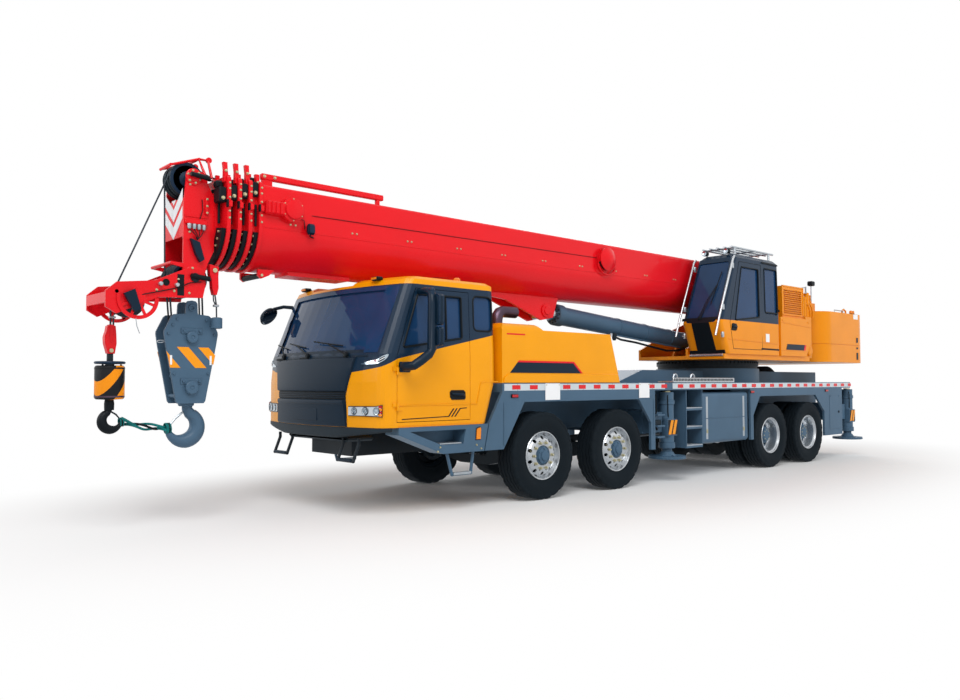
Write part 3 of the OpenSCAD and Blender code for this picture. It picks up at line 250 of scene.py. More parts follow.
def repeat_tree():
    """The node tree that sets copies of a shape along a line or round a centre."""
    tree = bpy.data.node_groups.new("Repeat", "GeometryNodeTree")
    tree.interface.new_socket("Geometry", in_out="INPUT", socket_type="NodeSocketGeometry")
    for label, kind in (("Count", "Int"), ("Step", "Vector"), ("Turn", "Vector"), ("Centre", "Vector"),
                        ("Finish", "Material")):
        tree.interface.new_socket(label, in_out="INPUT", socket_type="NodeSocket" + kind)
    tree.interface.new_socket("Geometry", in_out="OUTPUT", socket_type="NodeSocketGeometry")
    given = put(tree, "NodeGroupInput").outputs
    line = put(tree, "GeometryNodeMeshLine", {"Count": given["Count"], "Offset": given["Step"]},
               mode="OFFSET")
    copies = put(tree, "GeometryNodeInstanceOnPoints",
                 {"Points": line.outputs[0], "Instance": given["Geometry"]})
    index = put(tree, "GeometryNodeInputIndex")
    turn = put(tree, "ShaderNodeVectorMath", {0: given["Turn"], "Scale": index.outputs[0]}, operation="SCALE")
    turned = put(tree, "GeometryNodeRotateInstances", {
        "Instances": copies.outputs[0], "Rotation": turn.outputs[0], "Pivot Point": given["Centre"],
        "Local Space": False})
    real = put(tree, "GeometryNodeRealizeInstances", {0: turned.outputs[0]})
    final = put(tree, "GeometryNodeSetMaterial", {"Geometry": real.outputs[0], "Material": given["Finish"]})
    put(tree, "NodeGroupOutput", {0: final.outputs[0]})
    return tree


def repeat(name, shape, body, count, step=(0, 0, 0), turn=(0, 0, 0), centre=None):
    """Copies of a small shape as one mesh: a step in millimetres, or a turn in degrees about a centre."""
    tree = bpy.data.node_groups.get("Repeat") or repeat_tree()
    source = bpy.data.objects.new(name + "_source", shape.mesh(name + "_source"))
    bpy.context.scene.collection.objects.link(source)
    middle = ((centre[0] + ORIGIN_X) / 1000, centre[1] / 1000, centre[2] / 1000) if centre else (0, 0, 0)
    values = {"Count": count, "Step": [s / 1000 for s in step], "Turn": [math.radians(t) for t in turn],
              "Centre": middle, "Finish": FINISH[shape.finishes[0]]}
    modifier = source.modifiers.new("Repeat", "NODES")
    modifier.node_group = tree
    for item in tree.interface.items_tree:
        if item.in_out == "INPUT" and item.name in values:
            modifier[item.identifier] = values[item.name]
    mesh = bpy.data.meshes.new_from_object(source.evaluated_get(bpy.context.evaluated_depsgraph_get()))
    source.modifiers.remove(modifier)
    bpy.data.objects.remove(source)
    return placed(mesh, name, body)


def surface(name, colour, rough, metallic=0.0, coat=0.0, grain=3.0, bump=0.05, vary=0.05, soft=5.0, shine=0.2,
            paint=None):
    """One opaque finish. Grain, bump and soft (the worn edge's radius) are in millimetres."""
    material, tree = blank(bpy.data.materials.new(name))
    place = put(tree, "ShaderNodeTexCoord").outputs["Object"]
    fine = put(tree, "ShaderNodeTexNoise", {"Vector": place, "Scale": 1000 / grain, "Detail": 2.0})
    broad = put(tree, "ShaderNodeTexNoise", {"Vector": place, "Scale": 2.2, "Detail": 3.0})
    tone = put(tree, "ShaderNodeMapRange", {0: broad.outputs[0], 1: 0.3, 2: 0.7, 3: 1 - vary, 4: 1 + vary})
    base = paint(tree, place) if paint else put(tree, "ShaderNodeRGB").outputs[0]
    if not paint:
        base.default_value = linear(colour)
    colour_out = put(tree, "ShaderNodeVectorMath", {0: base, "Scale": tone.outputs[0]}, operation="SCALE")
    gloss = put(tree, "ShaderNodeMapRange", {
        0: fine.outputs[0], 1: 0.3, 2: 0.7, 3: max(rough - 0.05, 0.02), 4: rough + 0.05})
    edge = put(tree, "ShaderNodeBevel", {"Radius": soft / 1000}, samples=3)
    relief = put(tree, "ShaderNodeBump", {"Height": fine.outputs[0], "Distance": bump / 1000,
                                          "Normal": edge.outputs[0]})
    shader = put(tree, "ShaderNodeBsdfPrincipled", {
        "Base Color": colour_out.outputs[0], "Metallic": metallic, "Roughness": gloss.outputs[0],
        "Coat Weight": coat, "Coat Roughness": 0.06, "Specular IOR Level": shine,
        "Normal": relief.outputs[0]})
    put(tree, "ShaderNodeOutputMaterial", {"Surface": shader.outputs[0]})
    FINISH[name] = material
    return material


def clear(name, colour, rough, alpha, shine=0.25):
    """Tinted glass or a clear lamp cover: a glossy skin that lets part of the light through."""
    material, tree = blank(bpy.data.materials.new(name))
    place = put(tree, "ShaderNodeTexCoord").outputs["Object"]
    wave = put(tree, "ShaderNodeTexNoise", {"Vector": place, "Scale": 3.0, "Detail": 1.0})
    tone = put(tree, "ShaderNodeMapRange", {0: wave.outputs[0], 1: 0.3, 2: 0.7, 3: 0.92, 4: 1.08})
    tint = put(tree, "ShaderNodeRGB")
    tint.outputs[0].default_value = linear(colour)
    shade = put(tree, "ShaderNodeVectorMath", {0: tint.outputs[0], "Scale": tone.outputs[0]},
                operation="SCALE")
    shader = put(tree, "ShaderNodeBsdfPrincipled", {
        "Base Color": shade.outputs[0], "Roughness": rough, "IOR": 1.5, "Alpha": alpha,
        "Specular IOR Level": shine})
    put(tree, "ShaderNodeOutputMaterial", {"Surface": shader.outputs[0]})
    FINISH[name] = material
    return material


def two_tone(low, high, height, slope, keep_x, bend=None):
    """Paint that changes colour above a sloping line: z = height + slope * x, but not behind keep_x.
    bend gives a second line, where that one is lower."""
    def paint(tree, place):
        axes = put(tree, "ShaderNodeSeparateXYZ", {0: place}).outputs
        line = put(tree, "ShaderNodeMath", {0: axes["X"], 1: slope, 2: height},
                   operation="MULTIPLY_ADD").outputs[0]
        if bend:
            other = put(tree, "ShaderNodeMath", {0: axes["X"], 1: bend[1], 2: bend[0]},
                        operation="MULTIPLY_ADD").outputs[0]
            line = put(tree, "ShaderNodeMath", {0: line, 1: other}, operation="MINIMUM").outputs[0]
        above = put(tree, "ShaderNodeMath", {0: axes["Z"], 1: line}, operation="GREATER_THAN").outputs[0]
        ahead = put(tree, "ShaderNodeMath", {0: axes["X"], 1: keep_x}, operation="GREATER_THAN").outputs[0]
        both = put(tree, "ShaderNodeMath", {0: above, 1: ahead}, operation="MULTIPLY").outputs[0]
        return put(tree, "ShaderNodeMix", {0: both, 6: linear(low), 7: linear(high)},
                   data_type="RGBA").outputs[2]
    return paint


def slanted(first, second, period, lean, share):
    """Diagonal warning stripes: period in millimetres along X, lean along Z."""
    def paint(tree, place):
        pitch = (1000 / period, 0.35 * 1000 / period, lean * 1000 / period)
        scaled = put(tree, "ShaderNodeVectorMath", {0: place, 1: pitch},
                     operation="DOT_PRODUCT").outputs["Value"]
        part = put(tree, "ShaderNodeMath", {0: scaled}, operation="FRACT").outputs[0]
        on = put(tree, "ShaderNodeMath", {0: part, 1: share}, operation="LESS_THAN").outputs[0]
        return put(tree, "ShaderNodeMix", {0: on, 6: linear(first), 7: linear(second)},
                   data_type="RGBA").outputs[2]
    return paint


def make_finishes():
    """Every finish on the crane, named for the real material."""
    tones = bpy.context.scene.crane_colours
    yellow, orange, red = tones.cab, tones.upper, tones.boom
    blue, grey = tones.carrier, tones.pillar
    shift = ORIGIN_X / 1000
    # Sprayed two-coat enamel: clear depth, faint orange peel a few millimetres wide
    belt_slope, corner_slope = -0.2146, -0.505
    surface("enamel_yellow", yellow, 0.3, coat=0.12, grain=6.0, bump=0.03, vary=0.03)
    surface("enamel_cab", yellow, 0.3, coat=0.12, grain=6.0, bump=0.03, vary=0.03,
            paint=two_tone(yellow, grey, 2.182 - belt_slope * shift, belt_slope, 0.812 + shift,
                           bend=(2.834 - corner_slope * shift, corner_slope)))
    surface("enamel_orange", orange, 0.32, coat=0.1, grain=6.0, bump=0.04, vary=0.04)
    surface("enamel_upper_cab", orange, 0.32, coat=0.1, grain=6.0, bump=0.04, vary=0.04,
            paint=two_tone(orange, grey, 2.44, 0.0, -5.93 + shift))
    surface("enamel_red", red, 0.28, coat=0.14, grain=7.0, bump=0.04, vary=0.03)
    # Satin chassis enamel over welded plate
    surface("enamel_blue", blue, 0.42, coat=0.04, grain=5.0, bump=0.06, vary=0.06)
    surface("enamel_grey", grey, 0.4, coat=0.04, grain=5.0, bump=0.05, vary=0.05)
    surface("enamel_white", "#E4E7EA", 0.4, grain=5.0, bump=0.02, vary=0.02, soft=2.0)
    # The frame and the cab steps go near black ahead of a line across X: painted shade under the cab, over
    # the satin enamel
    surface("frame_enamel_painted_shade", blue, 0.42, coat=0.04, grain=5.0, bump=0.06, vary=0.06,
            paint=two_tone(blue, "#141E26", -1.0, 0.0, 0.7 + shift))
    surface("steps_enamel_painted_shade", blue, 0.42, coat=0.04, grain=5.0, bump=0.06, vary=0.06,
            paint=two_tone(blue, "#141E26", -1.0, 0.0, 2.38 + shift))
    # Vulcanised rubber: matt, with a dusty bloom
    surface("rubber", "#131B21", 0.72, grain=2.5, bump=0.25, vary=0.12, soft=3.0, shine=0.12)
    # Moulded black ABS with a fine spark-eroded grain
    surface("black_plastic", "#0E151A", 0.45, grain=1.5, bump=0.08, vary=0.06, soft=4.0, shine=0.15)
    surface("mask_plastic", "#0A2031", 0.35, coat=0.05, grain=2.0, bump=0.05, vary=0.05, soft=6.0, shine=0.16)
    surface("iron_paint", "#1F2A32", 0.5, grain=4.0, bump=0.2, vary=0.1)
    surface("polished_aluminium", "#C9CDD1", 0.28, metallic=0.9, grain=1.2, bump=0.03, vary=0.05, soft=4.0)
    surface("zinc_plate", "#C6BE9A", 0.32, metallic=0.9, grain=1.5, bump=0.03, vary=0.08, soft=1.5)
    surface("hard_chrome", "#C4C8CC", 0.16, metallic=1.0, grain=1.0, bump=0.01, vary=0.03, soft=3.0)
    surface("galvanised_tube", "#B9C0C6", 0.35, metallic=0.8, grain=4.0, bump=0.05, vary=0.08, soft=2.0)
    surface("heated_steel", "#5A4A58", 0.35, metallic=0.85, grain=9.0, bump=0.08, vary=0.3, soft=4.0)
    # Strands of a drawn steel rope; the lay is drawn coarser than real so that it shows
    surface("wire_rope", "#3A4148", 0.45, metallic=0.6, grain=8.0, bump=2.0, vary=0.1, soft=1.0)
    surface("webbing", "#14706F", 0.8, grain=2.0, bump=0.6, vary=0.15, soft=2.0)
    surface("seat_cloth", "#2B3036", 0.85, grain=2.0, bump=0.5, vary=0.1, soft=12.0)
    surface("sign_white", "#EEF0F2", 0.45, grain=3.0, bump=0.02, vary=0.01, soft=1.0)
    surface("reflector_red", "#D8101C", 0.3, coat=0.4, grain=4.0, bump=0.1, vary=0.05, soft=1.0)
    surface("reflector_silver", "#CDD6DC", 0.35, metallic=0.3, grain=4.0, bump=0.08, vary=0.04, soft=1.0)
    surface("lens_amber", "#F08A10", 0.2, coat=0.6, grain=6.0, bump=0.2, vary=0.06, soft=2.0)
    surface("lens_red", "#B4121A", 0.2, coat=0.6, grain=6.0, bump=0.2, vary=0.06, soft=2.0)
    surface("mirror_silver", "#B8C4CE", 0.05, metallic=1.0, grain=9.0, bump=0.0, vary=0.02, soft=1.0)
    surface("stripe_orange", "#F59A0C", 0.35, coat=0.3, grain=5.0, bump=0.03, vary=0.03, soft=1.0)
    surface("stripe_black", "#15181B", 0.4, grain=5.0, bump=0.03, vary=0.04, soft=1.0)
    surface("striped_weight", "#15181B", 0.4, grain=5.0, bump=0.06, vary=0.05,
            paint=slanted("#17191C", "#F09010", 236.0, 0.8, 0.46))
    clear("tinted_glass", "#1D3F66", 0.04, 0.9)
    clear("lamp_cover", "#DDE6EC", 0.05, 0.3, 0.5)


NODE_FINISH = {
    "enamel_cab": ("cab_shell", "door_left", "door_right"), "enamel_yellow": ("cab_roof", "engine_cover"),
    "enamel_orange": ("turntable", "counterweight", "side_cover", "oil_cooler"),
    "enamel_upper_cab": ("operator_cab", "operator_door"),
    "enamel_red": ("boom_1", "boom_2", "boom_3", "boom_4", "boom_5", "rooster_jib"),
    "enamel_blue": ("deck", "side_tanks", "luff_barrel"), "frame_enamel_painted_shade": ("chassis_frame",),
    "steps_enamel_painted_shade": ("cab_steps",),
    "black_plastic": ("cab_interior",), "seat_cloth": ("operator_seat",),
    "iron_paint": ("engine", "front_axles", "drive_axles", "slew_ring", "winches", "head_sheaves"),
    "hard_chrome": ("luff_rod",), "rubber": ("spare_wheel",),
    "tinted_glass": ("cab_glass", "door_glass_left", "door_glass_right", "operator_glass")}


def paint_nodes():
    """Gives each CAD node that stays its finish."""
    chosen = {node: finish for finish, nodes in NODE_FINISH.items() for node in nodes}
    for name, item in frame["nodes"].items():
        finish = chosen.get(name)
        if finish is None:
            kind = name.split("_")[0]
            finish = {"wheel": "rubber", "knuckle": IRON}.get(kind, BLUE)
        item.data.materials.clear()
        item.data.materials.append(FINISH[finish])


# Wheels: (radius, distance from the tyre's middle) down one sidewall, from the tread's edge
SIDEWALL = [(532, 137), (520, 141), (505, 144), (498, 142), (470, 148), (430, 150),
            (395, 147), (360, 140), (330, 130), (322, 132), (312, 126), (300, 118)]
TREAD_STEPS = 144


def tyre(shape, x, y):
    """A tyre with four zigzag grooves and notched shoulders."""
    floor = TYRE_R - bpy.context.scene.crane_sizes.tread_depth * 1000
    rings = []
    for i in range(TREAD_STEPS):
        turn = 2 * math.pi * i / TREAD_STEPS
        jog = 5 if i // 3 % 2 else -5
        lug = 9 if i % 6 < 2 else 0
        tread = []
        for groove in (84, 30, -30, -84):
            middle = groove + jog
            tread += [(TYRE_R, middle + 7), (floor, middle + 4), (floor, middle - 4), (TYRE_R, middle - 7)]
        side = [(r - lug if r > 500 else r, w) for r, w in SIDEWALL]
        edge = TYRE_R - lug
        section = side[::-1] + [(edge - 1, 124), (edge, 112)] + tread
        section += [(edge, -112), (edge - 1, -124)] + [(r, -w) for r, w in side]
        rings.append([(x + r * math.sin(turn), y + w, AXLE_Z + r * math.cos(turn)) for r, w in section])
    shape.rings(rings, "rubber", closed=True)


def pierced_disc(shape, x, y, side, profile, hole_r, hole_d, count, finish):
    """A wheel disc between two radii, with round hand holes; profile gives its offset at each radius."""
    inner, outer = profile[0][0], profile[-1][0]
    half, wedge, ring, lip = (outer - inner) / 2, math.pi / count, 16, 16
    middle = (outer + inner) / 2

    def offset(r):
        for (r0, w0), (r1, w1) in zip(profile, profile[1:]):
            if r <= r1:
                return w0 + (w1 - w0) * max(r - r0, 0) / (r1 - r0)
        return profile[-1][1]
    for n in range(count):
        points, base = [], 2 * math.pi * n / count
        for level in range(3):
            for k in range(ring):
                a = 2 * math.pi * k / ring + math.pi / ring
                c, s = math.cos(a), math.sin(a)
                if level == 0:
                    grow = 1 / max(abs(c), abs(s))
                    r, t = middle + half * c * grow, wedge * s * grow
                else:
                    r, t = hole_r + hole_d / 2 * c, hole_d / 2 * s / hole_r
                w = offset(r) - (lip if level == 2 else 0)
                points.append((x + r * math.sin(base + t), y + side * w, AXLE_Z + r * math.cos(base + t)))
        faces = []
        for level in (0, 1):
            a, b = level * ring, (level + 1) * ring
            faces += [(a + k, a + (k + 1) % ring, b + (k + 1) % ring, b + k) for k in range(ring)]
        shape.add(points, faces, finish)


def nuts(shape, x, y, side, radius, offset):
    """Ten wheel nuts on a circle."""
    for a in turns(10):
        a += math.pi / 10
        place = (x + radius * math.sin(a), y + side * offset, AXLE_Z + radius * math.cos(a))
        shape.turned([(21, 0), (21, side * 6), (16, side * 7), (15, side * 30), (9, side * 36)], place, ZINC,
                     steps=6)


def bolt_ring(shape, centre, radius, count, size, side=1, start=0.0):
    """Bolt heads on a circle about an axis along Y."""
    for a in turns(count):
        a += start
        place = (centre[0] + radius * math.cos(a), centre[1], centre[2] + radius * math.sin(a))
        shape.bolt(place, size, ZINC, sign=side)


def rim(shape, profile, x, y, side, finish, steps=64, ends=False):
    """A lathe shape about a wheel's axis: the profile's offsets count outwards."""
    shape.turned([(r, side * w) for r, w in profile], (x, y, AXLE_Z), finish, steps=steps, ends=ends)


def front_wheel(name, x, side):
    """A single wheel: tyre, polished disc with hand holes, dark inside, hub cap and nuts."""
    shape, y = Shape(), side * TRACK_Y
    tyre(shape, x, y)
    barrel = ((300, -110), (300, 112), (303, 122), (297, 130), (286, 128), (280, 110), (272, 84), (258, 66))
    rim(shape, barrel, x, y, side, ALLOY)
    pierced_disc(shape, x, y, side, [(182, 118), (205, 116), (228, 100), (258, 66)], 220, 46, 10, ALLOY)
    rim(shape, ((182, 118), (150, 120), (124, 119), (122, 100)), x, y, side, ALLOY)
    rim(shape, ((300, -110), (262, -80), (262, 40), (258, 50), (150, 60), (122, 100)), x, y, side, IRON, 48)
    rim(shape, ((122, 95), (118, 112), (100, 118), (98, 138), (62, 146), (60, 160), (40, 164)),
        x, y, side, BLUE, 40, True)
    for a in turns(6):
        px, pz = x + 84 * math.sin(a), AXLE_Z + 84 * math.cos(a)
        shape.box((px - 9, px + 9), (y + side * 134, y + side * 150), (pz - 9, pz + 9), BLUE)
    nuts(shape, x, y, side, 160, 119)
    shape.tube([(x + 196, y + side * 112, AXLE_Z + 60), (x + 230, y + side * 118, AXLE_Z + 70)], 9, ZINC,
               sides=8)
    shape.make("tyre_and_rim_" + name, "wheel_" + name, "tyre_rubber", "wheel_" + name)


def rear_wheel(name, x, side):
    """A pair of wheels: two tyres on deep rims, a sunk disc with hand holes, hub and nuts."""
    shape, outer = Shape(), side * TRACK_Y
    barrel = ((300, -112), (300, 112), (304, 122), (298, 130), (287, 127), (281, 108), (266, 96),
              (262, 20), (258, -30), (236, -62))
    for y, way in ((outer, side), (side * INNER_Y, -side)):
        tyre(shape, x, y)
        rim(shape, barrel, x, y, way, ALLOY)
    pierced_disc(shape, x, outer, side, [(150, -96), (190, -94), (236, -62)], 208, 52, 8, BLUE)
    rim(shape, ((150, -96), (142, -98), (140, 8), (120, 22), (112, 24), (110, 46), (60, 54)),
        x, outer, side, BLUE, 48, True)
    rim(shape, ((300, -112), (268, -100), (268, -440), (300, -452)), x, outer, side, IRON, 48)
    nuts(shape, x, outer, side, 167, -94)
    bolt_ring(shape, (x, outer + side * 50, AXLE_Z), 88, 8, 16, side)
    shape.make("tyre_and_rim_" + name, "wheel_" + name, "tyre_rubber", "wheel_" + name)


def make_wheels():
    """Single wheels on the two steered axles, pairs on the two driven ones."""
    for number in range(1, 5):
        for word, side in (("left", 1), ("right", -1)):
            name = "%d_%s" % (number, word)
            x = JOINTS["spin_" + name]["pos_m"][0] * 1000 - ORIGIN_X
            (front_wheel if number < 3 else rear_wheel)(name, x, side)


def hook(shape, x, z, size, finish, way=1):
    """A forged hook in the XZ plane: shank, thick bowl and a tapering tip that looks forward, or back."""
    path = [(x - way * 0.28 * size, 0, z + 1.75 * size), (x - way * 0.28 * size, 0, z + 1.2 * size)]
    widths = [0.72 * size, 0.7 * size]
    for i in range(25):
        a = math.radians(118 + 232 * i / 24)
        thick = 0.72 + 0.28 * math.sin(math.pi * min(i / 20, 1.0))
        if i > 15:
            thick *= 1 - 0.55 * ((i - 15) / 9) ** 1.4
        reach = 1.0 if i < 18 else 1.0 + 0.07 * (i - 17) / 7
        path.append((x + way * size * reach * math.cos(a), 0, z + size * reach * math.sin(a)))
        widths.append(size * 1.1 * thick)
    shape.tube(path, widths, finish, sides=16)


def rope(shape, path, size):
    """A laid rope: six strands wound round a line of points."""
    path = [Vector(p) for p in path]
    for strand in range(6):
        points, run, along = [], 0.0, None
        for i in range(len(path) - 1):
            way = path[i + 1] - path[i]
            count = max(2, min(160, int(way.length / (size * 1.1))))
            unit = way.normalized()
            across = unit.orthogonal() if along is None else along - unit * along.dot(unit)
            along = across = across.normalized()
            up = unit.cross(across)
            for k in range(count + (i == len(path) - 2)):
                turn = (run + way.length * k / count) / (size * 6.5) * 2 * math.pi + strand * math.pi / 3
                swing = (across * math.cos(turn) + up * math.sin(turn)) * size * 0.3
                points.append(path[i] + way * (k / count) + swing)
            run += way.length
        shape.tube(points, size * 0.42, WIRE, sides=5)


def make_main_hook():
    """The hook block: cheek plates, bosses, rope falls, warning stripes and the forged hook."""
    shape = Shape((BLOCK_X, 0, LOWER[1]))
    wide, fall_x = bpy.context.scene.crane_sizes.rope * 1000, LOWER[0] - BLOCK_X
    sheave_z, pin_z = -590, -1100
    half = [(42, -222), (58, -245), (62, -330), (66, -352), (180, -362), (204, -382),
            (276, -530), (278, -556), (262, -660), (152, -1238), (134, -1260)]
    cheek, face = half + [(-x, z) for x, z in half[::-1]] + [(0, -214)], 120
    mark = shape.mark()
    shape.plate(cheek, face - 25, face, BLUE)
    # Warning stripes on the cheek's middle band
    for stripe in ([(150, -690), (30, -690), (-160, -900), (-40, -900)],
                   [(-70, -690), (-180, -690), (-252, -770), (-232, -868)],
                   [(256, -732), (110, -900), (216, -900), (236, -800)]):
        shape.plate(stripe, face, face + 2, "stripe_orange")
    for z, radius in ((sheave_z, 60), (pin_z, 66)):
        boss = [(radius, 0), (radius, 34), (radius - 8, 40), (22, 40), (20, 34)]
        shape.turned(boss, (0, face, z), BLUE, steps=32)
        shape.box((-110, 110), (face, face + 10), (z + 34, z + 92), BLUE, 6)
        for x in (-82, 82):
            shape.bolt((x, face + 10, z + 64), 26, BLUE)
    for x, z in ((150, -410), (238, -560), (176, -960), (196, -470)):
        for way in (1, -1):
            shape.bolt((way * x, face, z), 24, BLUE)
    for x in (-214, 196):
        shape.box((x, x + 22), (face, face + 3), (-870, -775), "sign_white", 3)
    shape.turned([(34, 0), (34, 14), (20, 14), (19, 2)], (0, face, -290), BLUE, steps=24)
    shape.mirrored(mark)
    for y in (-40, 40):
        groove = [(60, -34), (150, -34), (170, -30), (150, -9), (150, 9), (170, 30), (150, 34), (60, 34)]
        shape.turned(groove, (0, y, sheave_z), IRON, steps=48)
        for side in (1, -1):
            rope(shape, [(fall_x + side * 171, y, 0), (side * 158, y, sheave_z)], wide)
    for x in (-130, 130):
        for z in (-480, -980, -1180):
            shape.tube([(x, -100, z), (x, 100, z)], 40, BLUE)
    shape.turned([(96, -1190), (96, -1160), (92, -1070), (70, -1060)], (0, 0, 0), IRON, axis="z", steps=32)
    shape.turned([(64, -1290), (78, -1280), (78, -1200), (64, -1190)], (0, 0, 0), BLUE, axis="z", steps=32)
    hook(shape, 30, -1495, 148, BLUE)
    shape.tube([(34, 0, -1350), (110, 0, -1410), (172, 0, -1490)], [22, 26, 16], TUBE, sides=10)
    # Shackle on the near edge
    bend = [(300 + 40 * math.sin(t), 100, -640 - 12 * math.cos(t)) for t in spread(0, math.pi, 8)]
    shape.tube([(262, 96, -640)] + bend + [(262, 96, -628)], 8, TUBE, sides=8)
    shape.make("hook_block_dressed", "main_hook", "carrier_paint", "hook_block")


def make_aux_hook():
    """The single fall hook: wedge socket, striped weight with its ring, and a forged hook."""
    shape, here = Shape((FALL_X, 0, JIB[1])), (0, 0, 0)
    rope(shape, [here, (0, 0, -262)], bpy.context.scene.crane_sizes.rope * 1000)
    shape.tube([(-22, 10, -150), (-24, 12, -262)], 18, WIRE, sides=8)
    shape.box((-44, 18), (-16, 24), (-176, -158), TUBE, 4)
    socket = [(-38, -250), (36, -250), (44, -300), (62, -360), (58, -420), (30, -520),
              (-34, -520), (-50, -420), (-46, -330)]
    shape.plate(socket, -34, 34, RED)
    shape.plate([(-22, -240), (22, -240), (10, -410), (-10, -410)], -38, 38, RED)
    shape.turned([(20, -46), (20, 46)], (0, 0, -490), ZINC, steps=16)
    shape.box((-26, 26), (-24, 24), (-610, -470), IRON, 8)
    shape.turned([(20, -640), (40, -636), (42, -600), (30, -590)], here, IRON, axis="z", steps=24)
    ring = [(128 * math.cos(t), 128 * math.sin(t), -606) for t in turns(36)]
    shape.tube(ring, 26, GREY, sides=10, closed=True)
    for t in (0.3, 2.4, 4.5):
        shape.tube([(0, 0, -612), (126 * math.cos(t), 126 * math.sin(t), -606)], 16, GREY, sides=8)
    weight = [(60, -634), (122, -634), (133, -646), (135, -660), (135, -930), (131, -948), (118, -958),
              (50, -962)]
    for profile, finish in ((weight, "striped_weight"), ([(136.5, -668), (136.5, -652)], "stripe_black"),
                            ([(136.5, -940), (136.5, -924)], "heated_steel")):
        shape.turned(profile, here, finish, axis="z", steps=56)
    for t in (0.6, 2.7, 4.8):
        shape.bolt((100 * math.cos(t), 100 * math.sin(t), -634), 20, IRON, axis="z")
    shape.turned([(44, -1062), (46, -1000), (40, -960)], here, BLACK, axis="z", steps=24)
    hook(shape, -20, -1165, 86, BLACK, way=-1)
    shape.tube([(-20, 0, -1078), (-64, 0, -1106), (-104, 0, -1154)], [16, 18, 12], IRON, sides=8)
    shape.make("aux_hook_dressed", "aux_hook", "dark_iron", "aux_hook")


def make_lashing():
    """The webbing that ties the two hooks together on the road, wound three times and twisted."""
    shape = Shape()
    near, far = Vector((LOWER[0] + 146, 0, 992)), Vector((JIB[0] + 44, 0, 1070))
    for turn, lift in enumerate((-26, 0, 26)):
        path = []
        for i in range(33):
            t = i / 32
            sag, a = math.sin(math.pi * t), math.pi * (3 * t + turn * 0.66)
            height = lift * (1 - 0.4 * sag) + 14 * math.sin(a) - 12 * sag
            path.append(near.lerp(far, t) + Vector((0, 34 * math.cos(a), height)))
        shape.tube(path, [32 - 8 * math.sin(math.pi * i / 32) for i in range(33)],
                   "webbing" if turn != 1 else BLACK, sides=8)
    for centre, radius, count in ((near, 52, 4), (far, 40, 3)):
        for k in range(count):
            loop = [(centre.x + (k - 1.5) * 13 + 4 * math.sin(t), radius * math.cos(t) * 0.92,
                     centre.z + radius * math.sin(t) * 0.95)
                    for t in turns(24)]
            shape.tube(loop, 15, "webbing" if k % 3 != 1 else BLACK, sides=6, closed=True)
    piece = shape.make("lashing", "main_hook", "dark_plastic")
    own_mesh(piece)


def make_collars():
    """Wear pads, fins' rollers, adjusting bolts and sensor boxes on the four boom collars."""
    for i, x in enumerate(COLLAR_X):
        shape = Shape()
        centre = BOOM_Z + BOOM_W / 2
        outer, inner = BOOM_W / 2 + RIM - 18, BOOM_W / 2 - NEST * (i + 1) + 3
        for first, last in ((188, 262), (278, 352)):
            ring = arc((0, centre), outer, first, last, 14) + arc((0, centre), inner, last, first, 14)
            shape.plate(ring, x, x + 44, BLACK, axis="x")
            for y, z in arc((0, centre), (outer + inner) / 2, first + 6, last - 6, 5):
                shape.bolt((x + 44, y, z), 22, ZINC, axis="x")
        top, fin_y, edge = BOOM_Z + BOOM_H, 384, BOOM_W / 2 + RIM
        crown = top - NEST * i
        mark = shape.mark()
        shape.tube([(x + 26, 118, crown - 14), (x + 26, 188, crown - 14)], 70, BLACK, sides=20)
        tip = top + (172 - 4 * i if i else 92)
        fin = [(-34, top - 40), (22, top - 40), (20, tip - 80), (30, tip), (-12, tip), (-16, tip - 80)]
        shape.plate([(x + dx, z) for dx, z in fin], fin_y - 22, fin_y + 22, RED)
        shape.box((x + 2, x + 78), (inner + 1, BOOM_W / 2 + 8), (crown - 150, crown + 6), BLACK, 10)
        shape.box((x + 2, x + 84), (270, 360), (top - 30 * i - 8, top - 30 * i + 66), BLACK, 16)
        shape.bolt((x + 40, BOOM_W / 2 + 8, crown - 110), 34, ZINC)
        shape.bolt((x + 2, 406, tip - 86), 26, ZINC)
        for z in (3120, 3190, 3330, 3420, 3480):
            shape.bolt((x - 26, edge, z), 20, ZINC)
        shape.box((x - 46, x - 4), (edge, edge + 30), (3230, 3292), RED, 4)
        shape.box((x - 4, x + 12), (edge - 6, edge + 34), (3222, 3300), BLACK, 4)
        shape.tube([(x + 26, inner + 18, 3075), (x + 26, inner + 18, 3300)], 26, BLACK, sides=10)
        shape.mirrored(mark)
        shape.make("collar_pads_%d" % (i + 1), "boom_%d" % (i + 1), "dark_plastic")


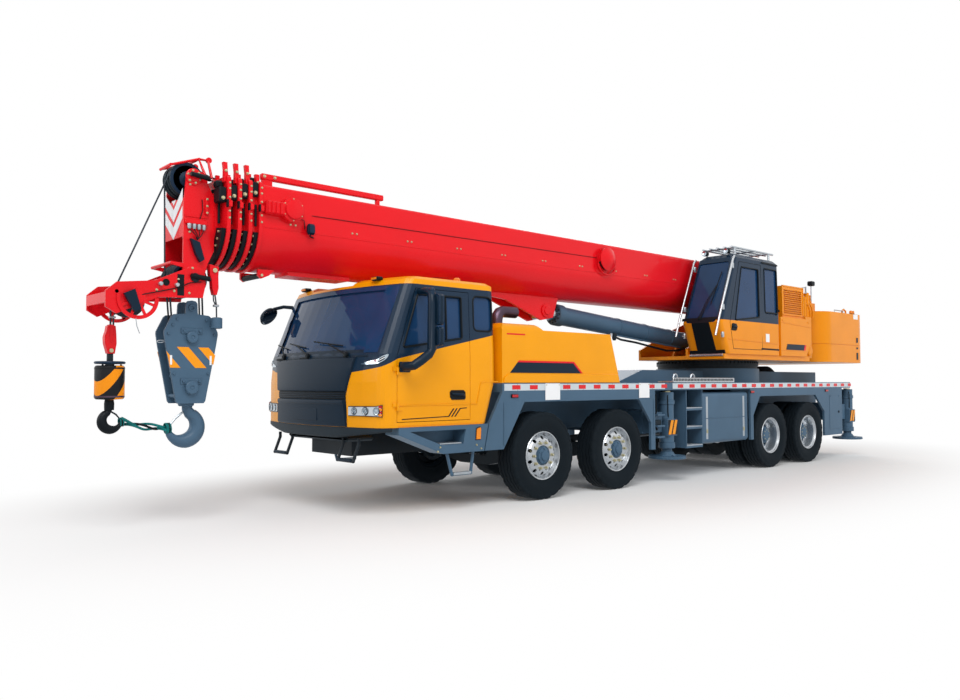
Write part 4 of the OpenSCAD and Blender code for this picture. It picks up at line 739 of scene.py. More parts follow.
def make_boom_fittings():
    """Seam strip, cover bolts, cable drum, top rail and rest roller on the base section."""
    shape = Shape()
    side_y = BOOM_W / 2
    mark = shape.mark()
    shape.box((-6300, 3360), (side_y, side_y + 4), (3072, 3086), RED, 1.5)
    for x in spread(-5600, 3000, 12):
        for dx in (0, 60):
            shape.bolt((x + dx, side_y, 3140), 20, ZINC)
    # Reel housing near the front and slack cable reel over the luffing eye
    drum = (3060, side_y, 3290)
    shape.turned([(130, 0), (130, 66), (104, 72), (100, 96), (70, 104)], drum, RED, steps=40)
    shape.box((3130, 3372), (side_y, side_y + 74), (3215, 3352), RED, 12)
    for x in (3202, 3252, 3302, 3346):
        shape.box((x, x + 18), (side_y + 72, side_y + 92), (3220, 3347), RED, 4)
    bolt_ring(shape, (drum[0], side_y + 66, drum[2]), 116, 6, 14, start=math.pi / 6)
    shape.tube([(2960, side_y + 20, 3220), (2900, side_y + 14, 3200), (2890, side_y + 10, 3110)],
               9, BLACK, sides=6)
    reel = (-2200, side_y + 80, 3290)
    shape.turned([(60, -80), (180, -78), (182, -60), (150, -56), (150, -14), (175, -10), (175, 0), (120, 30),
                  (60, 60), (40, 64)],
                 reel, RED, steps=48)
    for k in range(9):
        a = math.radians(200 + 17 * k)
        x, z = reel[0] + 142 * math.cos(a), reel[2] + 142 * math.sin(a)
        shape.tube([(x, side_y + 20, z), (x, side_y + 52, z)], 46, BLACK, sides=8)
    bolt_ring(shape, reel, 100, 8, 20)
    shape.tube([(-2080, side_y + 6, 3300), (2800, side_y + 6, 3270)], 7, BLACK, sides=6)
    for start, y in ((205, side_y + 40), (215, side_y + 50)):
        angles = [math.radians(a) for a in spread(start, start + 130, 12)]
        loop = [(reel[0] + 215 * math.cos(a), y, reel[2] - 30 + 205 * math.sin(a)) for a in angles]
        shape.tube(loop, 22, RED, sides=8)
    # Working lamp on its bracket
    shape.tube([(2780, side_y, 3030), (2845, side_y + 40, 3035), (2845, side_y + 60, 3060)], 16, BLACK,
               sides=8)
    shape.box((2800, 2890), (side_y + 30, side_y + 90), (3050, 3165), MASK, 16)
    shape.box((2815, 2875), (side_y + 88, side_y + 95), (3065, 3150), GREY, 5)
    # Pin boss at the luffing eye
    shape.turned([(96, 0), (96, 18), (60, 24), (56, 40)], (-1200, 150, 2480), RED, steps=36)
    shape.mirrored(mark)
    top = BOOM_Z + BOOM_H
    shape.box((1750, 3330), (230, 290), (top + 85, top + 150), RED, 8)
    for x, wide in ((1800, 50), (3200, 120)):
        shape.box((x, x + wide), (238, 282), (top - 6, top + 90), RED, 6)
    shape.tube([(1900, 150, top + 30), (3350, 150, top + 30)], 24, BLACK, sides=8)
    for x in (3090, 3210):
        shape.bolt((x + 90, 290, top + 118), 30, ZINC)
    # Rest roller under the front end
    for y in (-220, 190):
        shape.plate([(3140, 2660), (3330, 2660), (3330, 2590), (3290, 2560), (3200, 2600)], y, y + 30, RED)
    shape.tube([(3290, -190, 2596), (3290, 190, 2596)], 62, BLACK, sides=20)
    shape.tube([(3290, -236, 2596), (3290, 236, 2596)], 30, ZINC, sides=12)
    shape.make("boom_fittings", "boom_1", "boom_paint")


def make_ropes():
    """Hoist rope: a length on each section, whole as the boom runs out, and the turns at the head."""
    for i in range(5):
        shape = Shape()
        front, back, height = COLLAR_X[min(i, 3)], -6900 + 40 * i, 3592
        for y in (-60, 60):
            run = [(back, y, height), (front, y, height)]
            shape.tube(run + ([(UPPER[0], y, 3690)] if i == 4 else []), 19 - 0.6 * i, WIRE, sides=8)
        if i == 4:
            for y in (-60, 60):
                wrap = [(UPPER[0] + 170 * math.cos(a), y, UPPER[1] + 170 * math.sin(a))
                        for a in spread(math.pi / 2, math.radians(8), 12)]
                shape.tube(wrap, 19, WIRE, sides=8)
            rope(shape, [(UPPER[0] + 172, -60, UPPER[1]), (LOWER[0] + 172, -60, LOWER[1] + 40)], 18)
            turn = [(JIB[0] + 150 * math.cos(a), 0, JIB[1] + 150 * math.sin(a))
                    for a in spread(math.radians(23), 0, 6)]
            rope(shape, [(UPPER[0] + 158, 58, UPPER[1] + 68), (JIB[0] + 139, 4, JIB[1] + 59)], 18)
            shape.tube(turn, 19, WIRE, sides=8)
        else:
            for y in (-60, 60):
                shape.turned([(24, y - 20), (24, y + 20)], (back + 40, 0, height - 30), BLACK, steps=16)
            shape.box((back, back + 80), (-95, 95), (3490 - NEST * i, 3550), RED, 6)
        shape.make("hoist_rope_%d" % (i + 1), "boom_%d" % (i + 1), "dark_iron")


def make_head():
    """Boom head: chevrons, rope guards, hand grips, plug board, switch box and cables."""
    shape, front, face = Shape((HEAD_X, 0, 0)), 310, 255
    lower, upper = ((x - HEAD_X, z) for x, z in (LOWER, UPPER))
    for z in (2905, 3085):
        shape.plate([(0, z), (222, z + 190), (222, z + 312), (0, z + 122), (-222, z + 312), (-222, z + 190)],
                    front, front + 3, "enamel_white", axis="x")
    shape.plate([(0, 3258), (56, 3306), (-56, 3306)], front, front + 3, "enamel_white", axis="x")
    mark = shape.mark()
    for (px, pz), radius in ((lower, 120), (upper, 84)):
        shape.turned([(radius, 0), (radius, 12), (radius - 8, 16), (54, 18), (52, 34), (20, 36)],
                     (px, face, pz), RED, steps=40)
        bolt_ring(shape, (px, face + 16, pz), radius - 22, 6, 22, start=0.3)
        grip = [(px - 20, face + 40, pz + 6), (px + 50, face + 62, pz + 14), (px - 130, face + 62, pz - 6),
                (px - 150, face + 30, pz - 10)]
        shape.tube([grip[0], grip[1]], 40, BLACK, sides=12)
        shape.tube([grip[1], grip[2], grip[3]], [46, 52, 40], BLACK, sides=14)
    # Rims and hubs on the sheaves, the thin grey rim ring being a painted highlight on each sheave's face;
    # fold line and plug board on the side plate
    for (px, pz), y in ((upper, 96), (lower, 156)):
        shape.turned([(178, 0), (176, 5), (146, 6), (142, 0)], (px, y, pz), GREY, steps=48)
        shape.turned([(84, 0), (84, 12), (50, 20), (46, 34)], (px, y, pz), GREY, steps=32)
    shape.box((60, 306), (face, face + 8), (3112, 3128), RED, 3)
    shape.box((70, 300), (face, face + 26), (3040, 3090), RED, 5)
    for k in range(4):
        shape.turned([(20, 0), (20, -40), (14, -52)], (110 + 50 * k, face + 20, 3040), TUBE, axis="z",
                     steps=14)
        shape.tube([(110 + 50 * k, face + 20, 2990), (140 + 20 * k, face + 30, 2930),
                    (180, face + 24, 2880)], 9, BLACK, sides=6)
    box = [(160, 2860), (250, 2890), (200, 2740), (150, 2660), (110, 2690)]
    shape.plate(box, face, face + 46, MASK)
    shape.tube([(130, face + 12, 3300), (120, face + 14, 3200), (150, face + 14, 3100)], 9, BLACK, sides=6)
    shape.box((60, 96), (face, face + 20), (3150, 3330), RED, 4)
    for z in (3170, 3240, 3310):
        shape.bolt((78, face + 20, z), 20, ZINC)
    for z in (2960, 3440):
        shape.bolt((250, face, z), 22, ZINC)
    # Rope keeper over the upper sheaves
    foot, knee, tip = (90, 240, 3560), (120, 150, 3740), (400, 120, 3640)
    shape.tube([foot, knee, tip], [34, 30, 26], RED, sides=10)
    shape.tube([(20, 240, 3540), (30, 170, 3735), knee], [30, 28, 26], RED, sides=10)
    shape.turned([(16, -14), (30, -14), (30, 14), (16, 14)], (24, 170, 3738), RED, steps=20)
    shape.mirrored(mark)
    shape.tube([(120, -160, 3740), (120, 160, 3740)], 28, RED, sides=10)
    shape.tube([(400, -140, 3640), (400, 140, 3640)], 30, RED, sides=10)
    # Keeper bar in front of the lower sheaves
    mark = shape.mark()
    shape.plate([(250, 2610), (300, 2640), (420, 2650), (436, 2620), (300, 2596)], 232, 254, RED)
    shape.mirrored(mark)
    shape.tube([(424, -262, 2634), (424, 262, 2634)], 34, RED, sides=12)
    # Dead end of the hoist rope with its limit weight
    x, y = -41, 190
    shape.plate([(x - 34, 2640), (x + 64, 2660), (x + 60, 2560), (x + 40, 2500), (x + 34, 2420),
                 (x + 16, 2350), (x - 16, 2350), (x - 34, 2420), (x - 30, 2540)],
                y - 34, y + 34, RED)
    shape.turned([(24, -48), (24, 48)], (x + 10, y, 2600), ZINC, steps=16)
    shape.tube([(x - 8, y, 2360), (x - 26, y, 2250), (x - 30, y, 2110)], 16, WIRE, sides=8)
    shape.tube([(x + 10, y, 2360), (x + 4, y, 2290), (x - 20, y, 2240)], 14, WIRE, sides=8)
    shape.box((x - 50, x + 6), (y - 22, y + 22), (2228, 2252), TUBE, 5)
    shape.turned([(42, 2004), (56, 2010), (56, 2112), (40, 2120)], (x - 32, y, 0), BLUE, axis="z", steps=24)
    shape.make("head_fittings", "boom_5", "boom_paint")


def make_rooster():
    """Nose sheave guard with its spokes, hole rims, sensor box and cables."""
    shape, face = Shape(), 290
    (jx, jz), (lx, lz) = JIB, LOWER
    mark = shape.mark()
    ring = arc(JIB, 196, 175, 372, 30)
    shape.plate(ring + arc(JIB, 160, 372, 175, 30), face, face + 16, RED)
    corners = ((60, 13), (176, 13), (176, -13), (60, -13))
    for a in (200, 245, 290, 335):
        c, s = math.cos(math.radians(a)), math.sin(math.radians(a))
        spoke = [(jx + r * c - w * s, jz + r * s + w * c) for r, w in corners]
        shape.plate(spoke, face, face + 14, RED)
    shape.turned([(78, 0), (78, 14), (52, 18), (50, 34)], (jx, face, jz), RED, steps=32)
    box = [(jx + 40, jz + 90), (jx + 140, jz + 40), (jx + 40, jz - 130), (jx - 20, jz - 100)]
    shape.plate(box, face + 18, face + 56, MASK)
    shape.turned([(34, 0), (34, 5), (27, 6), (26, 1)], (lx + 290, face, lz - 70), BLACK, steps=28)
    for dx, dz in ((170, -30), (210, -150), (380, -150), (60, -160)):
        shape.bolt((lx + dx, face, lz + dz), 22, ZINC)
    for dx in (190, 350):
        shape.turned([(20, 0), (20, 40), (15, 46)], (lx + dx, face, lz - 90), TUBE, steps=14)
    cable = [(lx - 60, face + 10, lz - 40), (lx + 60, face + 14, lz - 60), (lx + 160, face + 12, lz - 110),
             (lx + 300, face + 12, lz - 150), (jx - 30, face + 14, jz + 40)]
    shape.tube(cable, 11, BLACK, sides=6)
    shape.box((lx + 112, lx + 180), (face, face + 4), (lz - 190, lz + 20), BLACK, 2)
    shape.mirrored(mark)
    shape.tube([(jx + 190, -290, jz + 60), (jx + 190, 290, jz + 60)], 36, RED, sides=12)
    # Limit switch cords, clipped at both ends
    loop = [(jx + 20, 300, jz - 160), (jx + 10, 310, jz - 260), (jx - 20, 300, jz - 330)]
    shape.tube(loop, 8, TUBE, sides=6)
    shape.make("rooster_fittings", "boom_5", "boom_paint")


def nose(y, z):
    """Where the bowed front of the driver's cab lies at a place across and a height."""
    front = CAB_NOSE - max(0, min(z, CAB_BELT) - CAB_SILL) / 10
    front -= SCREEN_LEAN * max(0, z - CAB_BELT) / SCREEN_H
    return front - BOW_R + math.sqrt(BOW_R ** 2 - y * y)


def flank(z, side=1):
    """Where the side of the driver's cab lies at a height."""
    return side * (HALF_W - SIDE_LEAN * max(0, z - CAB_BELT) / SCREEN_H)


def seal_line(outline, wall, inset):
    """Points round a window: wall gives the side's place at a height, inset the share kept off corners."""
    points = []
    for (x, z), (x2, z2) in zip(outline, outline[1:] + outline[:1]):
        for t in (inset, 0.5, 1 - inset):
            height = z + (z2 - z) * t
            points.append((x + (x2 - x) * t, wall(height), height))
    return points


def on_front(shape, across, heights, lift, depth, finish):
    """A strip that follows the bowed front."""
    rings = []
    for y in spread(across[0], across[1], 9):
        (low, high), (a, b) = heights, (nose(y, heights[0]) + lift, nose(y, heights[1]) + lift)
        rings.append([(a, y, low), (b, y, high), (b - depth, y, high), (a - depth, y, low)])
    shape.rings(rings, finish)


def bow(z, turn, lift=0.0):
    """A place on the cab's round plan at a height: turn is 0 at the middle and 90 at the side."""
    a, side = math.radians(abs(turn)), 1 if turn >= 0 else -1
    if abs(turn) < BOW_TURN:
        return (nose(0, z) - BOW_R + (BOW_R + lift) * math.cos(a), side * (BOW_R + lift) * math.sin(a), z)
    wide, radius = flank(z) - CORNER_R, CORNER_R + lift
    return (nose(0, z) - CORNER_BACK + radius * math.cos(a), side * (wide + radius * math.sin(a)), z)


def wrapped(shape, places, lift, depth, finish):
    """A band round the cab's corner: places of (turn, lower height, upper height)."""
    rings = []
    for turn, low, high in places:
        corners = ((low, lift), (high, lift), (high, lift - depth), (low, lift - depth))
        rings.append([bow(z, turn, out) for z, out in corners])
    shape.rings(rings, finish)


def make_mask():
    """The dark mask with its slot, and the bumper under it, in place of their plainer shapes."""
    mask = Shape()
    # Down the face: height, how far it stands out, and half its width
    section = [(1722, 4, 850), (1714, 20, 848), (1696, 27, 842), (1380, 30, 742), (1358, 27, 736),
               (1352, 6, 734), (1264, 6, 714), (1258, 30, 712), (1242, 37, 712), (1224, 37, 713),
               (1212, 27, 714), (990, 21, 746), (974, 6, 748)]
    # And up its back
    section += [(974, -8, 748), (1350, -8, 734), (1722, -8, 850)]
    rings = []
    for t in spread(-1, 1, 41):
        rings.append([(nose(t * w, z) + lift, t * w, z) for z, lift, w in section])
    mask.rings(rings, MASK)
    on_front(mask, (-728, 728), (1268, 1348), 9, 6, BLACK)
    for z in (1288, 1308, 1328):
        on_front(mask, (-724, 724), (z - 4, z + 4), 16, 10, MASK)
    on_front(mask, (-270, 270), (1030, 1160), 28, 8, MASK)
    rings = []
    for turn in [-88, -70, -52, -34] + spread(-17, 17, 21) + [34, 52, 70, 88]:
        low = 852 + 74 * max(0, (abs(bow(972, turn)[1]) - 560) / 690)
        rings.append([bow(970, turn, 4), bow(low + 16, turn, 4), bow(low, turn, -10), bow(low, turn, -90),
                      bow(970, turn, -90)])
    mask.rings(rings, IRON)
    mask.box((2120, 2480), (-640, 640), (800, 858), IRON, 20)
    mask.make("mask", "carrier", "dark_plastic", "cab_front")


def make_lamps():
    """Head lamps wrapped round the corners and lamp strips at the belt, and the rear lamp boxes."""
    lamp = Shape()
    mark = lamp.mark()
    sweep = [11.6, 13, 15, 17, 22, 28, 34, 40, 46]
    wrapped(lamp, [(t, 1092 - (t - 11) * 0.25, 1196 + (t - 11) * 0.55) for t in sweep], 12, 20, MASK)
    wrapped(lamp, [(t, 1100 - (t - 11) * 0.25, 1188 + (t - 11) * 0.55) for t in sweep[:-1]], 16, 8,
            "reflector_silver")
    for turn, radius in ((12.9, 34), (15.2, 38), (21, 36)):
        place = Vector(bow(1146, turn, 16))
        a = math.radians(turn)
        aim = Vector((math.cos(a), math.sin(a), 0))
        across, up = Vector((-aim.y, aim.x, 0)), Vector((0, 0, 1))
        for r0, depth, finish in ((radius + 6, 5, BLACK), (radius, 8, MIRROR)):
            bowl = ((r0, 0), (r0, depth), (r0 * 0.6, depth - 3), (r0 * 0.2, depth))
            lamp.rings([[place + aim * d + (across * math.cos(t) + up * math.sin(t)) * r for t in turns(24)]
                        for r, d in bowl], finish)
    for k in range(4):
        wrapped(lamp, [(t, 1096 + 29 * k, 1118 + 29 * k) for t in (31, 36, 41, 45)], 22, 10,
                "lens_red" if k % 2 else "lens_amber")
    strip = [(13.9, 1640, 1650), (15.5, 1640, 1678), (17.2, 1646, 1694), (26, 1656, 1712), (36, 1668, 1728),
             (46, 1684, 1738), (55, 1706, 1744), (60, 1730, 1746)]
    wrapped(lamp, strip, 10, 14, MIRROR)
    wrapped(lamp, [(t, a + 12, b - 12) for t, a, b in strip[2:-2]], 13, 8, BLACK)
    wrapped(lamp, [(t, (a + b) / 2 - 4, (a + b) / 2 + 5) for t, a, b in strip[2:-2]], 16, 8, "sign_white")
    lamp.box((-8706, -8660), (700, 1160), (1338, 1432), BLACK, 6)
    lamp.mirrored(mark)
    lamp.make("lamps_dressed", "carrier", "lamp_plastic", "lamps")


def make_cab_front():
    """Front of the driver's cab: windscreen border, wipers, roof markers, hoop treads and the far mirror."""
    shape = Shape()
    on_front(shape, (-1010, 1010), (1722, 1800), 5, 12, MASK)
    mark = shape.mark()
    on_front(shape, (940, 1124), (1770, 2508), 4, 10, "tinted_glass")
    shape.mirrored(mark)
    on_front(shape, (-940, 940), (2462, 2512), 4, 10, "tinted_glass")
    for pivot, first, last in ((-624, -1040, -640), (14, -566, -130), (711, 60, 590)):
        z, top, middle = 1752, 1880, (first + last) / 2
        root = (nose(pivot, z) + 14, pivot, z)
        shape.turned([(30, 0), (30, 26), (20, 34)], (root[0] - 10, pivot, z), BLACK, axis="x", steps=16)
        shape.box((root[0] - 20, root[0] + 2), (pivot - 190, pivot + 30), (z - 40, z - 12), BLACK, 8)
        fall = 62 / (last - first)
        tilt = [(nose(y, top) + 12, y, top + 34 - fall * (y - first)) for y in spread(first, last, 6)]
        shape.tube([root, (nose(middle, top) + 22, middle, top + 6)], [24, 14], BLACK, sides=8)
        shape.tube(tilt, 16, BLACK, sides=6)
    mark = shape.mark()
    shape.box((2130, 2220), (700, 830), (2578, 2622), BLACK, 14)
    shape.box((2215, 2226), (715, 815), (2588, 2612), "lens_amber", 4)
    shape.box((2516, 2564), (575, 845), (604, 632), MASK, 4)
    shape.mirrored(mark)
    # Round mirror on the far side
    rod = [(2080, -1200, 2380), (2110, -1240, 2420), (2190, -1320, 2430), (2290, -1385, 2400),
           (2330, -1400, 2360)]
    shape.tube(rod, [56, 50, 46, 44, 40], MASK, sides=12)
    aim = Vector((-0.3, 0.72, -0.62)).normalized()
    across = aim.orthogonal().normalized()
    up = aim.cross(across)
    centre = Vector((2350, -1405, 2300))
    for radius, offsets, finish in ((130, (-54, -42, -8, 0), MASK), (114, (-2, -2, -2, 3), MIRROR)):
        rings = []
        for share, t in zip((0.5, 0.85, 1, 1), offsets):
            spokes = [across * math.cos(a) + up * math.sin(a) for a in turns(32)]
            rings.append([centre + aim * t + spoke * (radius * share) for spoke in spokes])
        shape.rings(rings, finish)
    # Aerial and beacon on the roof
    shape.tube([(1600, 880, 2600), (1560, 880, 2640), (1420, 882, 2668), (1250, 884, 2676)], [14, 8, 5, 4],
               BLACK, sides=6)
    shape.turned([(22, 2596), (22, 2612), (12, 2622)], (1600, 880, 0), TUBE, axis="z", steps=14)
    shape.turned([(52, 2598), (52, 2622), (46, 2626), (44, 2668), (30, 2682)], (1130, 900, 0), "lens_amber",
                 axis="z", steps=24)
    shape.turned([(56, 2596), (56, 2616), (50, 2618)], (1130, 900, 0), BLACK, axis="z", steps=24)
    shape.make("cab_front_fittings", "carrier", "dark_plastic")


def make_cab_sides():
    """Doors with handles, seals, line graphic and mirrors, and the trim of the panel and sill behind them."""
    for side, name in ((1, "left"), (-1, "right")):
        door = Shape()
        edge = side * HALF_W
        handle = [(1300, 1270), (1316, 1254), (1500, 1254), (1526, 1282), (1530, 1340), (1510, 1362),
                  (1330, 1362), (1302, 1336)]
        door.plate(handle, edge, edge + side * 7, BLACK)
        door.tube([(1325, edge + side * 8, 1300), (1350, edge + side * 24, 1312),
                   (1470, edge + side * 24, 1318), (1500, edge + side * 8, 1322)],
                  [24, 30, 30, 24], MASK, sides=10)
        door.plate([(1236, 1198), (2236, 1198), (2236, 1208), (1236, 1214)], edge, edge + side * 7, YELLOW)
        lines = [[(x, 1066), (x - 20, 1066), (x - 98, 1158), (x - 78, 1158)] for x in (1560, 1512, 1464)]
        lines += [[(1560, 1066), (2190, 1052), (2190, 1062), (1545, 1076)],
                  [(1384, 1150), (1384, 1160), (1280, 1166), (1280, 1156)]]
        for line in lines:
            door.plate(line, edge, edge + side * 2, "stripe_black")
        window = [(1340, 1945), (2172, 1822), (1956, 2410), (1340, 2410)]
        seal = seal_line(window, lambda z: flank(z, side) - side * 4, 0.02)
        door.tube(seal, 26, BLACK, sides=8, closed=True)
        split = [(1560, flank(1925, side) - side * 14, 1925), (1560, flank(2400, side) - side * 14, 2400)]
        door.tube(split, 26, BLACK, sides=8)
        # Mirror arm, heads with their glass, and the foot on the door
        y = side * 1450
        arm = [(2190, side * 1230, 1620), (2184, side * 1380, 1620), (2176, side * 1436, 1624),
               (2100, y, 1672), (1985, y, 1745), (1945, y, 1800), (1940, y, 2290),
               (1930, y - side * 20, 2390), (1934, y - side * 70, 2428), (1940, side * 1330, 2438),
               (1940, side * 1220, 2436)]
        door.tube(arm, [96, 96, 98, 100, 100, 98, 96, 92, 84, 72, 60], MASK, sides=14)
        door.box((2090, 2236), (edge - side * 4, edge + side * 34), (1556, 1668), MASK, 16)
        for low, high in ((1838, 2042), (2058, 2392)):
            door.box((1842, 1920), (side * 1356, side * 1544), (low, high), MASK, 26)
            door.box((1838, 1844), (side * 1374, side * 1526), (low + 18, high - 18), MIRROR, 8)
        door.make("door_fittings_" + name, "door_" + name, "dark_plastic")
    shape = Shape()
    edge = HALF_W
    # Trim of the side panel behind the door
    shape.plate([(1216, 1198), (1120, 1198), (1060, 1440), (990, 1452), (800, 1452), (800, 1462),
                 (994, 1462), (1068, 1450), (1128, 1208), (1216, 1208)],
                edge, edge + 7, YELLOW)
    ring = [(870, 2040), (1160, 2040), (1160, 2440), (870, 2440)]
    seal = []
    for (x, z), turn in zip(ring, (180, 270, 0, 90)):
        inner = (x + 60 * (1 if x < 1000 else -1), z + 60 * (1 if z < 2200 else -1))
        seal += [(px, flank(pz) - 4, pz) for px, pz in arc(inner, 60, turn, turn + 90, 4)]
    shape.tube(seal, 24, BLACK, sides=8, closed=True)
    # Sill: amber marker, tread in the foot hole, hoop tread and bolts
    shape.plate([(1070, 790), (1150, 790), (1140, 925), (1080, 945), (1060, 925)], edge, edge + 5, MASK)
    shape.plate([(1078, 800), (1142, 800), (1132, 918), (1082, 934), (1070, 918)], edge + 5, edge + 14,
                "lens_amber")
    shape.box((1350, 1660), (edge - 190, edge - 6), (762, 776), TUBE, 3)
    for x, z in ((1130, 735), (1668, 735), (1700, 690), (1060, 690)):
        shape.bolt((x, edge, z), 20, ZINC)
    shape.box((1178, 1440), (edge - 86, edge - 34), (408, 438), TUBE, 4)
    shape.plate([(1040, 972), (2240, 972), (2240, 990), (1035, 990)], edge - 1, edge + 3, ORANGE)
    for z in (1150, 1530, 1190, 1570):
        shape.tube([(2253, edge + 12, z), (2253, edge + 12, z + 38)], 30, YELLOW, sides=14)
    shape.mirrored()
    shape.make("cab_side_fittings", "carrier", "cab_paint")


def make_deck_trim():
    """Reflective strip along the deck's edge with red blocks, blank plates, small markers and rear lamps."""
    shape = Shape()
    edge, half = HALF_W, bpy.context.scene.crane_sizes.strip * 500
    strip = (STRIP_Z - half, STRIP_Z + half)
    for first, last in ((690, -2530), (-2720, -8640)):
        shape.box((last, first), (edge, edge + 3), strip, "reflector_silver", 1)
        for x in range(int(last) + 300, int(first), 300):
            shape.box((x - 2, x + 2), (edge + 2, edge + 4), strip, GREY, 0.6)
    for first, last in ((-10, -280), (-1910, -2150)):
        shape.box((last, first), (edge + 3, edge + 8), (1228, 1434), "sign_white", 3)
        for x in (first - 20, last + 20):
            shape.bolt((x, edge + 8, 1415), 12, ZINC)
    for x in (520, -4960, -7640):
        shape.box((x - 62, x + 62), (edge - 4, edge + 10), (1262, 1306), BLACK, 6)
        shape.box((x - 50, x + 50), (edge + 8, edge + 18), (1268, 1300), "lens_red", 6)
    for y, finish in ((730, "lens_red"), (880, "lens_amber"), (1030, MIRROR)):
        shape.box((-8712, -8700), (y, y + 110), (1352, 1418), finish, 6)
    shape.mirrored()
    shape.make("deck_trim", "carrier", "carrier_paint")
    for name, first, count in (("front", 560, 11), ("rear", -2850, 20)):
        block = Shape()
        block.box((first - 138, first), (edge + 2, edge + 5), (1362, 1414), "reflector_red", 1)
        block.mirrored()
        repeat("red_blocks_" + name, block, "carrier", count, step=(-300, 0, 0))


def make_carrier_fittings():
    """Tank straps and cap, ladder treads, deck step with its hoops, jack hoses and tool box lines."""
    shape = Shape()
    edge = HALF_W
    mark = shape.mark()
    for x in (-3650, -4720):
        y, low, high = 1231, 500, 1290
        path = [(700, low - 1), (1150, low - 1), (y, low + 70), (y, high - 70), (1170, high + 1),
                (700, high + 1)]
        inner = [(a - 7, b + (7 if b < 800 else -7)) for a, b in path]
        shape.plate(path + inner[::-1], x - 26, x + 26, TUBE, axis="x")
        shape.tube([(x, y + 4, 660), (x, y + 4, 720)], 22, ZINC, sides=10)
    shape.turned([(70, 1288), (70, 1310), (58, 1318), (20, 1320)], (-3900, 960, 0), BLACK, axis="z", steps=28)
    shape.box((-4800, -3570), (1228, 1234), (880, 892), BLUE, 2)
    for z in (490, 770, 1050):
        shape.box((-3520, -3098), (1000, 1234), (z, z + 10), TUBE, 3)
        for y in spread(1010, 1220, 6):
            shape.box((-3516, -3102), (y, y + 8), (z + 9, z + 15), TUBE, 1)
    # Aluminium step on the deck with two hand hoops
    shape.box((-4440, -2760), (960, 1236), (1440, 1462), ALLOY, 4)
    shape.box((-4440, -2760), (1226, 1240), (1440, 1512), ALLOY, 4)
    for x in (-2880, -3330):
        hoop = [(x + 50, 1190, 1450), (x + 50, 1190, 1520), (x + 30, 1190, 1556), (x, 1190, 1566),
                (x - 30, 1190, 1556), (x - 50, 1190, 1520), (x - 50, 1190, 1450)]
        shape.tube(hoop, 26, TUBE, sides=10)
    # Locker door with its latch, and frame seams behind the rear axle
    shape.box((-8180, -7760), (edge, edge + 4), (560, 1200), BLUE, 3)
    shape.box((-8150, -8110), (edge + 4, edge + 14), (860, 900), BLACK, 5)
    for x in (-7800, -8140):
        shape.bolt((x, edge + 4, 1180), 16, BLUE)
    for x in (690, -2260):
        shape.box((x - 12, x + 12), (edge, edge + 5), (700, 1200), BLUE, 3)
    # Hoses and valve block beside the front outrigger
    for k in range(4):
        y = 1040 + 42 * k
        hose = [(-2420, y, 1270), (-2430, y, 1080 - 20 * k), (-2450 + 30 * k, y + 10, 900),
                (-2500 + 20 * k, y, 760), (-2560, y - 60, 690 + 30 * k)]
        shape.tube(hose, 24, BLACK, sides=8)
    for z in (640, 800, 960):
        shape.box((-2560, -2380), (1080, 1228), (z, z + 26), BLUE, 4)
    shape.box((-2540, -2400), (1100, 1180), (826, 900), IRON, 8)
    shape.mirrored(mark)
    shape.make("carrier_fittings", "carrier", "carrier_paint")
    slot = Shape()
    slot.box((-2800, -2780), (1239, 1243), (1462, 1500), BLACK, 1)
    slot.mirrored()
    repeat("deck_step_slots", slot, "carrier", 42, step=(-39, 0, 0))


def make_outriggers():
    """Hazard plates, clamp rings, hoses and foot ribs on the four outriggers."""
    for end, xs in (("front", (-2740.9, -2460.3)), ("rear", (-8780.9, -8500.3))):
        for side, x in zip((1, -1), xs):
            name = end + ("_left" if side > 0 else "_right")
            beam = Shape()
            y, jack_y = side * 1232, side * 1125
            beam.box((x - 118, x + 118), (side * 1120, y), (660, 905), BLUE, 6)
            beam.box((x - 112, x + 112), (y, y + side * 4), (680, 895), "stripe_black", 2)
            for a, b, c, d in ((112, 46, -22, 44), (14, -52, -112, -54)):
                stripe = [(x + a, 684), (x + b, 684), (x + c, 891), (x + d, 891)]
                beam.plate(stripe, y + side * 3, y + side * 6, "stripe_orange")
            for clamp in ([(105, 1120), (118, 1124), (118, 1180), (105, 1184)],
                          [(105, 478), (120, 482), (120, 560), (105, 566)]):
                beam.turned(clamp, (x, jack_y, 0), BLUE, axis="z", steps=32)
            beam.turned([(60, 1298), (60, 1316), (40, 1320)], (x, jack_y, 0), ZINC, axis="z", steps=24)
            beam.tube([(x + 60, side * 1190, 1270), (x + 96, side * 1216, 1200),
                       (x + 100, side * 1220, 1010), (x + 60, side * 1200, 930)], 18, BLACK, sides=8)
            beam.make("beam_fittings_" + name, "beam_" + name, "carrier_paint")
            foot = Shape()
            edge = [(268, 328), (276, 334), (276, 342), (262, 348)]
            foot.turned(edge, (x, jack_y, 0), BLUE, axis="z", steps=48)
            for a in turns(6):
                c, s = math.cos(a + 0.2), math.sin(a + 0.2)
                rib = [(x + r * c, jack_y + r * s, z) for r, z in ((90, 378), (240, 352))]
                foot.tube(rib, [26, 14], BLUE, sides=6)
            foot.make("jack_foot_" + name, "jack_" + name, "rod_chrome")


